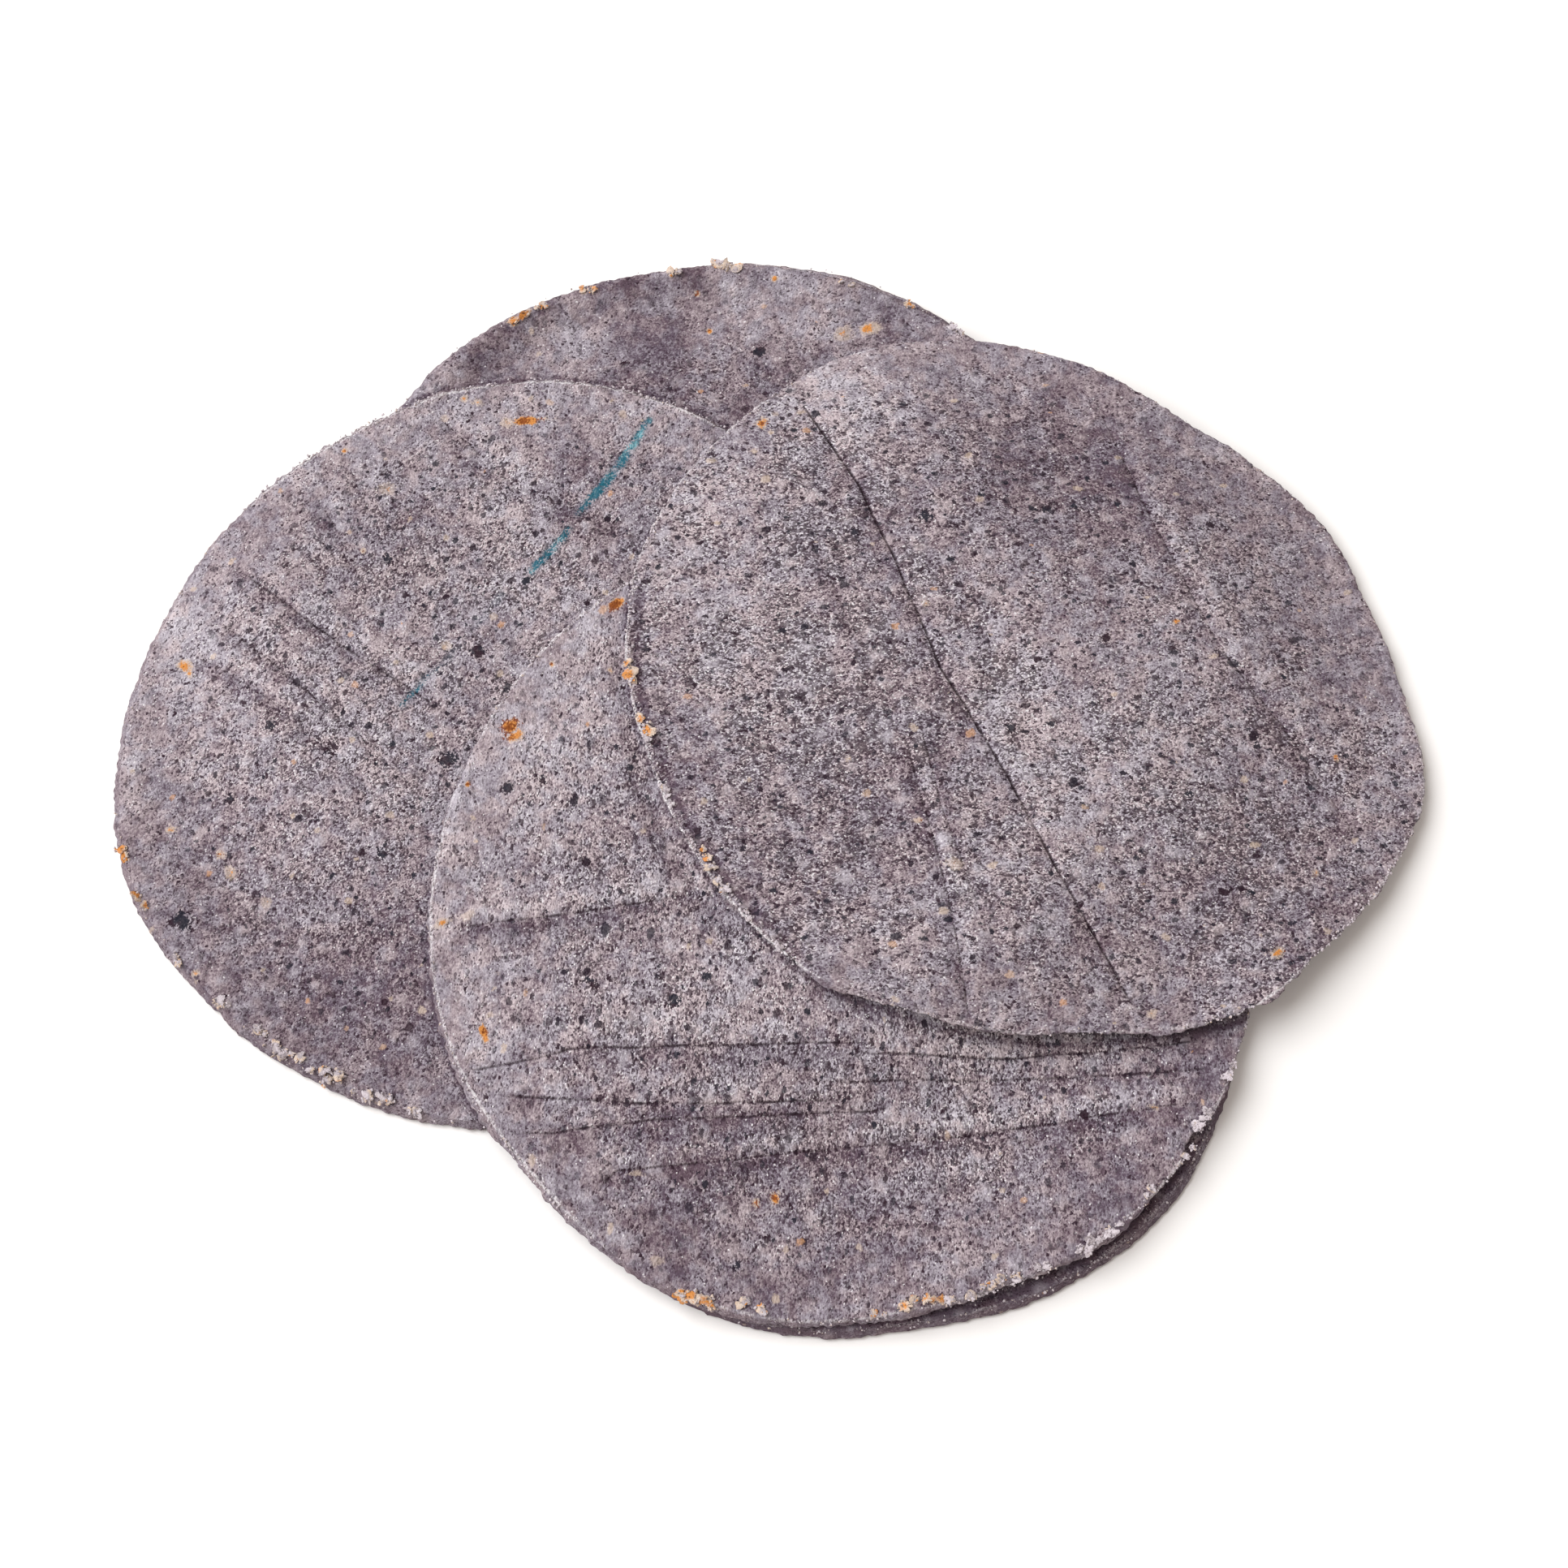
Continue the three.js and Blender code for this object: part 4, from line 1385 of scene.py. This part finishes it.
    # Folds: painted shade along each crease line, and the dip of each in the bump.
    height = meal["Height"] + kernel * 0.3
    if tortilla.folds:
        lines = 0.0
        for number in range(math.ceil(len(tortilla.folds) / FOLDS_IN_ATTRIBUTE)):
            given = {
                "Distances": read_mesh(tree, f"fold_distance_{number}")[0],
                "Strengths": read_mesh(tree, f"crease_shade_strength_{number}")[0],
                "Width": CREASE_WIDTH,
            }
            lines = use_group(tree, fold_lines, given)["Mask"] + lines
        lines = lines * remap(ragged, -0.25, 0.2, 1.1, 0.6)
        dark_grains = (luck < lines * 0.7) * 0.7
        crease = maths("MAXIMUM", dark_grains, remap(lines, 0.1, 0.9, 0.0, 0.78))
        colour = paint(colour, colours.plum_fleck, crease)
        height = height - lines * 0.9

    # The dry rim and the cut side.
    frayed = inset + (ragged * 0.5 + other_ragged * 0.35)
    rim = remap(frayed, 0.45, 0.2) * (paleness * remap(inset, -0.3, -0.1))
    rim = rim * remap(luck, 0.15, 0.35, 0.3, 1.0)
    whole = ragged + grain * 1.5 + paleness * 0.5
    rim = rim * remap(whole, 0.0, 0.4, 0.25, 1.0)
    colour = paint(colour, colours.glint, rim * 0.95)
    colour = paint(colour, colours.cut_side, remap(inset, 0.0, -0.25, 0.0, 0.35))

    roughness = remap(meal["Tone"], 0.2, 0.8, 0.95, 0.75) - meal["Glint"] * 0.35
    wire_shader(shader, colour, roughness, height, DOUGH_BUMP)
    shader.inputs["Specular IOR Level"].default_value = DOUGH_GLOSS
    return material


def crumb_material(colours):
    """Dry crumbs: pale dough, with cream or toasted edges where they are warm, and painted highlights."""
    material, shader = new_material("rim_crumb")
    tree = material.node_tree
    place = Field(tree.nodes.new("ShaderNodeTexCoord").outputs["Object"])
    mottle = add_node(tree, "ShaderNodeTexNoise", {"Vector": place, "Scale": 1500.0, "Detail": 3.0})[0]
    warm = read_mesh(tree, "warmth")[1] + (mottle - 0.5) * 0.5
    colour = paint(colours.pale_dough, colours.dry_crumb, remap(warm, 0.15, 0.35))
    colour = paint(colour, colours.cream, remap(warm, 0.3, 0.6))
    colour = paint(colour, colours.toasted, remap(warm, 0.78, 1.0))
    colour = paint(colour, colours.grain_shadow, remap(mottle, 0.47, 0.3, 0.0, 0.8))
    # Painted highlights on the crumbs.
    sparkle = remap(mottle, 0.57, 0.7) * remap(warm, 0.2, 0.45, 0.6, 0.3)
    colour = paint(colour, colours.glint, sparkle)
    wire_shader(shader, colour, remap(mottle, 0.3, 0.7, 0.9, 0.65), mottle, CRUMB_BUMP)
    return material


# Crumbs


def lump_shape(fineness):
    """Points and triangles of a small round lump of unit radius."""
    shape = bmesh.new()
    bmesh.ops.create_icosphere(shape, subdivisions=fineness, radius=1.0)
    points = np.array([vertex.co[:] for vertex in shape.verts])
    triangles = np.array([[vertex.index for vertex in face.verts] for face in shape.faces])
    shape.free()
    return points, triangles


class LumpPile:
    """Many small ragged lumps and flakes gathered into one mesh."""

    def __init__(self, seed):
        self.draws = np.random.default_rng(seed)
        self.points = []
        self.triangles = []
        self.warmths = []
        self.count = 0

    def add(self, shape, middle, size, warmth, flatness=0.8, raggedness=0.28):
        """Adds one lump with random squash, turn and dents. Its edges are warmer than its middle."""
        points, triangles = shape
        draws = self.draws
        spread = np.hypot(points[:, 0], points[:, 1])
        point_turns = np.arctan2(points[:, 1], points[:, 0]) % TURN
        corner_turns = np.sort(draws.uniform(0, TURN, FLAKE_CORNERS))
        corner_reach = draws.uniform(0.45, 1.35, FLAKE_CORNERS)
        reach = np.interp(point_turns, corner_turns, corner_reach, period=TURN)
        shaped = points * (1 + raggedness * draws.uniform(-1, 1, (len(points), 1)))
        shaped[:, :2] *= reach[:, None]
        shaped = shaped * (size * draws.uniform(0.7, 1.25, 3) * (1, 1, flatness))
        turn = draws.uniform(0, TURN)
        c = math.cos(turn)
        s = math.sin(turn)
        spin = np.array([[c, -s, 0], [s, c, 0], [0, 0, 1]])
        lean = np.eye(3)
        lean[2, :2] = draws.normal(0, 0.36, 2)
        lean[:2, 2] = -lean[2, :2]
        self.points.append(shaped @ (lean @ spin).T + middle)
        self.triangles.append(triangles + self.count)
        warm_side = points[:, :2] @ draws.normal(0, 0.22, 2)
        inside = 1 - spread if warmth > 0.65 else 0.8 * (spread - 0.8)
        self.warmths.append(warmth + 0.35 * inside + warm_side + draws.normal(0, 0.04, len(points)))
        self.count += len(points)

    def mesh(self, name):
        """The pile as one mesh, with the warmth of each lump for its material."""
        mesh = mesh_from_arrays(name, np.concatenate(self.points), np.concatenate(self.triangles))
        mesh.shade_flat()
        store(mesh, "warmth", np.concatenate(self.warmths))
        return mesh


def rim_point(tortilla, angle, inset, sizes):
    """A point on a tortilla's top, at an angle and a distance in from its outline."""
    x, y = plan_point(tortilla, angle, smooth_radius(tortilla, angle) - inset)
    from_edge = np.maximum(inset - set_back_at(tortilla, angle, sizes), 0)
    return np.stack([x, y, top_height(tortilla, x, y, from_edge, sizes)], axis=-1)


def add_crumbs(pile, tortilla, radius, sizes):
    """Adds a tortilla's crumbs to a pile, each a row of flakes with chips about them."""
    flake = lump_shape(4)
    chip = lump_shape(2)
    draws = pile.draws
    for degrees, inset, length, width, height, warmth in tortilla.crumbs:
        count = max(2, int(length * width * FLAKES_ON_MM2))
        along = np.linspace(-0.5, 0.5, count) * length + draws.normal(0, 0.2, count)
        across = draws.uniform(-0.5, 0.5, count) * width
        angle = math.radians(degrees) + along / MEAN_RADIUS
        for seat in rim_point(tortilla, angle, np.maximum(inset + across, 0.25), sizes):
            size = radius * draws.uniform(0.6, 1.2) * (0.5 + 0.4 * width)
            seat[2] += size * 0.2 + draws.uniform(0, 0.3) * height
            pile.add(flake, seat, size, warmth - draws.uniform(0, 0.25), flatness=0.2, raggedness=0.16)
            for _ in range(CHIPS_ON_FLAKE):
                bit = size * draws.uniform(0.1, 0.34)
                turn = draws.uniform(0, TURN)
                away = size * draws.uniform(0.4, 1.1)
                rise = bit * draws.uniform(-0.3, 0.6)
                place = seat + (away * math.cos(turn), away * math.sin(turn), rise)
                pile.add(chip, place, bit, warmth + draws.uniform(-0.6, 0.2), flatness=0.55)


def add_grit(pile, tortilla, radius, count, sizes):
    """Adds grains of grit along a tortilla's rim to a pile, most of them where the rim is pale."""
    speck = lump_shape(1)
    draws = pile.draws
    angles = draws.uniform(0, TURN, count)
    angles = angles[draws.uniform(0, 1, count) < 0.15 + rim_paleness(tortilla, angles)]
    paleness = rim_paleness(tortilla, angles)
    insets = np.abs(draws.normal(0, 0.3, len(angles)) * (1 + 4 * tortilla.groove * paleness)) + 0.05
    insets += set_back_at(tortilla, angles, sizes) * draws.uniform(0, 1, len(angles))
    seats = rim_point(tortilla, angles, insets, sizes)
    shown = bare_share(tortilla, seats[:, 0], seats[:, 1]) > 0.5
    for seat, pale in zip(seats[shown], paleness[shown]):
        size = radius * draws.uniform(0.5, 1.2 + 0.5 * pale)
        seat[2] += size * 0.1
        pile.add(speck, seat, size, draws.uniform(-0.1, 0.55 - 0.3 * pale))


def scatter_crumbs(context, tortilla):
    """Builds the crumbs and grit on one tortilla's rim as a single piece."""
    sizes = Sizes(context.scene.stack_sizes)
    settings = context.scene.crumb_settings
    pile = LumpPile(SEEDS["crumbs"] + tortilla.number)
    add_crumbs(pile, tortilla, settings.crumb_size / MM / 2, sizes)
    add_grit(pile, tortilla, settings.grit_size / MM / 2, settings.grit_count, sizes)
    name = f"crumbs_{tortilla.slot}"
    material = bpy.data.materials.get("rim_crumb") or crumb_material(context.scene.dough_colours)
    finish_piece(name, pile.mesh(name), material)


class STACK_OT_back_tortillas(Operator):
    """Build the two tortillas at the back, with the upper one's rim curled up"""

    bl_idname = "stack.back_tortillas"
    bl_label = "Back tortillas"

    def execute(self, context):
        bake_tortilla(context, "tortilla_back_under")
        bake_tortilla(context, "tortilla_back")
        return {"FINISHED"}


class STACK_OT_left_tortilla(Operator):
    """Build the tortilla at the left, which comes down to the floor"""

    bl_idname = "stack.left_tortilla"
    bl_label = "Left tortilla"

    def execute(self, context):
        bake_tortilla(context, "tortilla_left")
        return {"FINISHED"}


class STACK_OT_front_tortillas(Operator):
    """Build the two tortillas at the front, one over the other"""

    bl_idname = "stack.front_tortillas"
    bl_label = "Front tortillas"

    def execute(self, context):
        bake_tortilla(context, "tortilla_front_under")
        bake_tortilla(context, "tortilla_front")
        return {"FINISHED"}


class STACK_OT_top_tortilla(Operator):
    """Build the tortilla that lies over all the others"""

    bl_idname = "stack.top_tortilla"
    bl_label = "Top tortilla"

    def execute(self, context):
        bake_tortilla(context, "tortilla_top")
        return {"FINISHED"}


class STACK_OT_rim_crumbs(Operator):
    """Scatter crumbs and grit along the rims that show"""

    bl_idname = "stack.rim_crumbs"
    bl_label = "Rim crumbs"

    def execute(self, context):
        for tortilla in TORTILLAS:
            scatter_crumbs(context, tortilla)
        return {"FINISHED"}


def lay_floor(settings):
    """A plain pale floor under the stack."""
    material, shader = new_material("pale_floor")
    put(shader.inputs["Base Color"], settings.floor_colour)
    shader.inputs["Roughness"].default_value = FLOOR_ROUGHNESS
    shader.inputs["Specular IOR Level"].default_value = FLOOR_GLOSS
    mesh = bpy.data.meshes.new("floor")
    corners = [(x * FLOOR_HALF, y * FLOOR_HALF, 0) for x, y in ((-1, -1), (1, -1), (1, 1), (-1, 1))]
    mesh.from_pydata(corners, [], [(0, 1, 2, 3)])
    mesh.materials.append(material)
    floor = place_object("floor", mesh)
    floor.location.z = -FLOOR_DROP


def hang_key_light(settings):
    """One large soft light, far away at the left and above."""
    lamp = bpy.data.lights.new("key_light", "SUN")
    lamp.angle = settings.key_spread
    lamp.energy = settings.key_strength
    lamp.color = KEY_COLOUR
    place_object("key_light", lamp).rotation_euler = Vector(KEY_FROM).to_track_quat("Z", "Y").to_euler()


def light_evenly(settings):
    """Even warm light from all round."""
    world = bpy.data.worlds.new("studio")
    world.use_nodes = True
    background = world.node_tree.nodes["Background"]
    put(background.inputs["Color"], FILL_COLOUR)
    background.inputs["Strength"].default_value = settings.fill_strength
    bpy.context.scene.world = world


def set_camera(settings):
    """A camera in front of the stack, looking down on it."""
    tilt = settings.camera_tilt
    data = bpy.data.cameras.new("camera")
    data.sensor_width = SENSOR_MM
    data.lens = settings.lens
    data.clip_start = NEAREST_SEEN
    data.clip_end = FURTHEST_SEEN
    camera = place_object("camera", data)
    away = settings.camera_distance * Vector((0, -math.cos(tilt), math.sin(tilt)))
    camera.location = Vector(VIEW_MIDDLE) + away
    camera.rotation_euler = (math.pi / 2 - tilt, 0, 0)
    bpy.context.scene.camera = camera


class STACK_OT_stage(Operator):
    """Set up the floor, the light and the camera"""

    bl_idname = "stack.stage"
    bl_label = "Stage"

    def execute(self, context):
        settings = context.scene.stage_settings
        lay_floor(settings)
        hang_key_light(settings)
        light_evenly(settings)
        set_camera(settings)
        context.scene.view_settings.view_transform = "Standard"
        return {"FINISHED"}


BUILDERS = (
    STACK_OT_back_tortillas,
    STACK_OT_left_tortilla,
    STACK_OT_front_tortillas,
    STACK_OT_top_tortilla,
    STACK_OT_rim_crumbs,
    STACK_OT_stage,
)

SETTINGS = {
    "stack_sizes": StackSizes,
    "dough_colours": DoughColours,
    "crumb_settings": CrumbSettings,
    "stage_settings": StageSettings,
}


class STACK_PT_tortillas(Panel):
    """Lists the steps that build the stack, and the values they use"""

    bl_idname = "STACK_PT_tortillas"
    bl_label = "Tortilla stack"
    bl_space_type = "VIEW_3D"
    bl_region_type = "UI"
    bl_category = "Tortillas"

    def draw(self, context):
        for builder in BUILDERS:
            self.layout.operator(builder.bl_idname)
        for name, settings in SETTINGS.items():
            box = self.layout.box()
            for key in settings.__annotations__:
                box.prop(getattr(context.scene, name), key)


CLASSES = (*SETTINGS.values(), *BUILDERS, STACK_PT_tortillas)


def register():
    for made in CLASSES:
        bpy.utils.register_class(made)
    for name, settings in SETTINGS.items():
        setattr(bpy.types.Scene, name, PointerProperty(type=settings))


def unregister():
    for name in SETTINGS:
        delattr(bpy.types.Scene, name)
    for made in reversed(CLASSES):
        bpy.utils.unregister_class(made)


def main():
    register()
    bpy.ops.stack.back_tortillas()
    bpy.ops.stack.left_tortilla()
    bpy.ops.stack.front_tortillas()
    bpy.ops.stack.top_tortilla()
    bpy.ops.stack.rim_crumbs()
    bpy.ops.stack.stage()


if __name__ == "__main__":
    main()
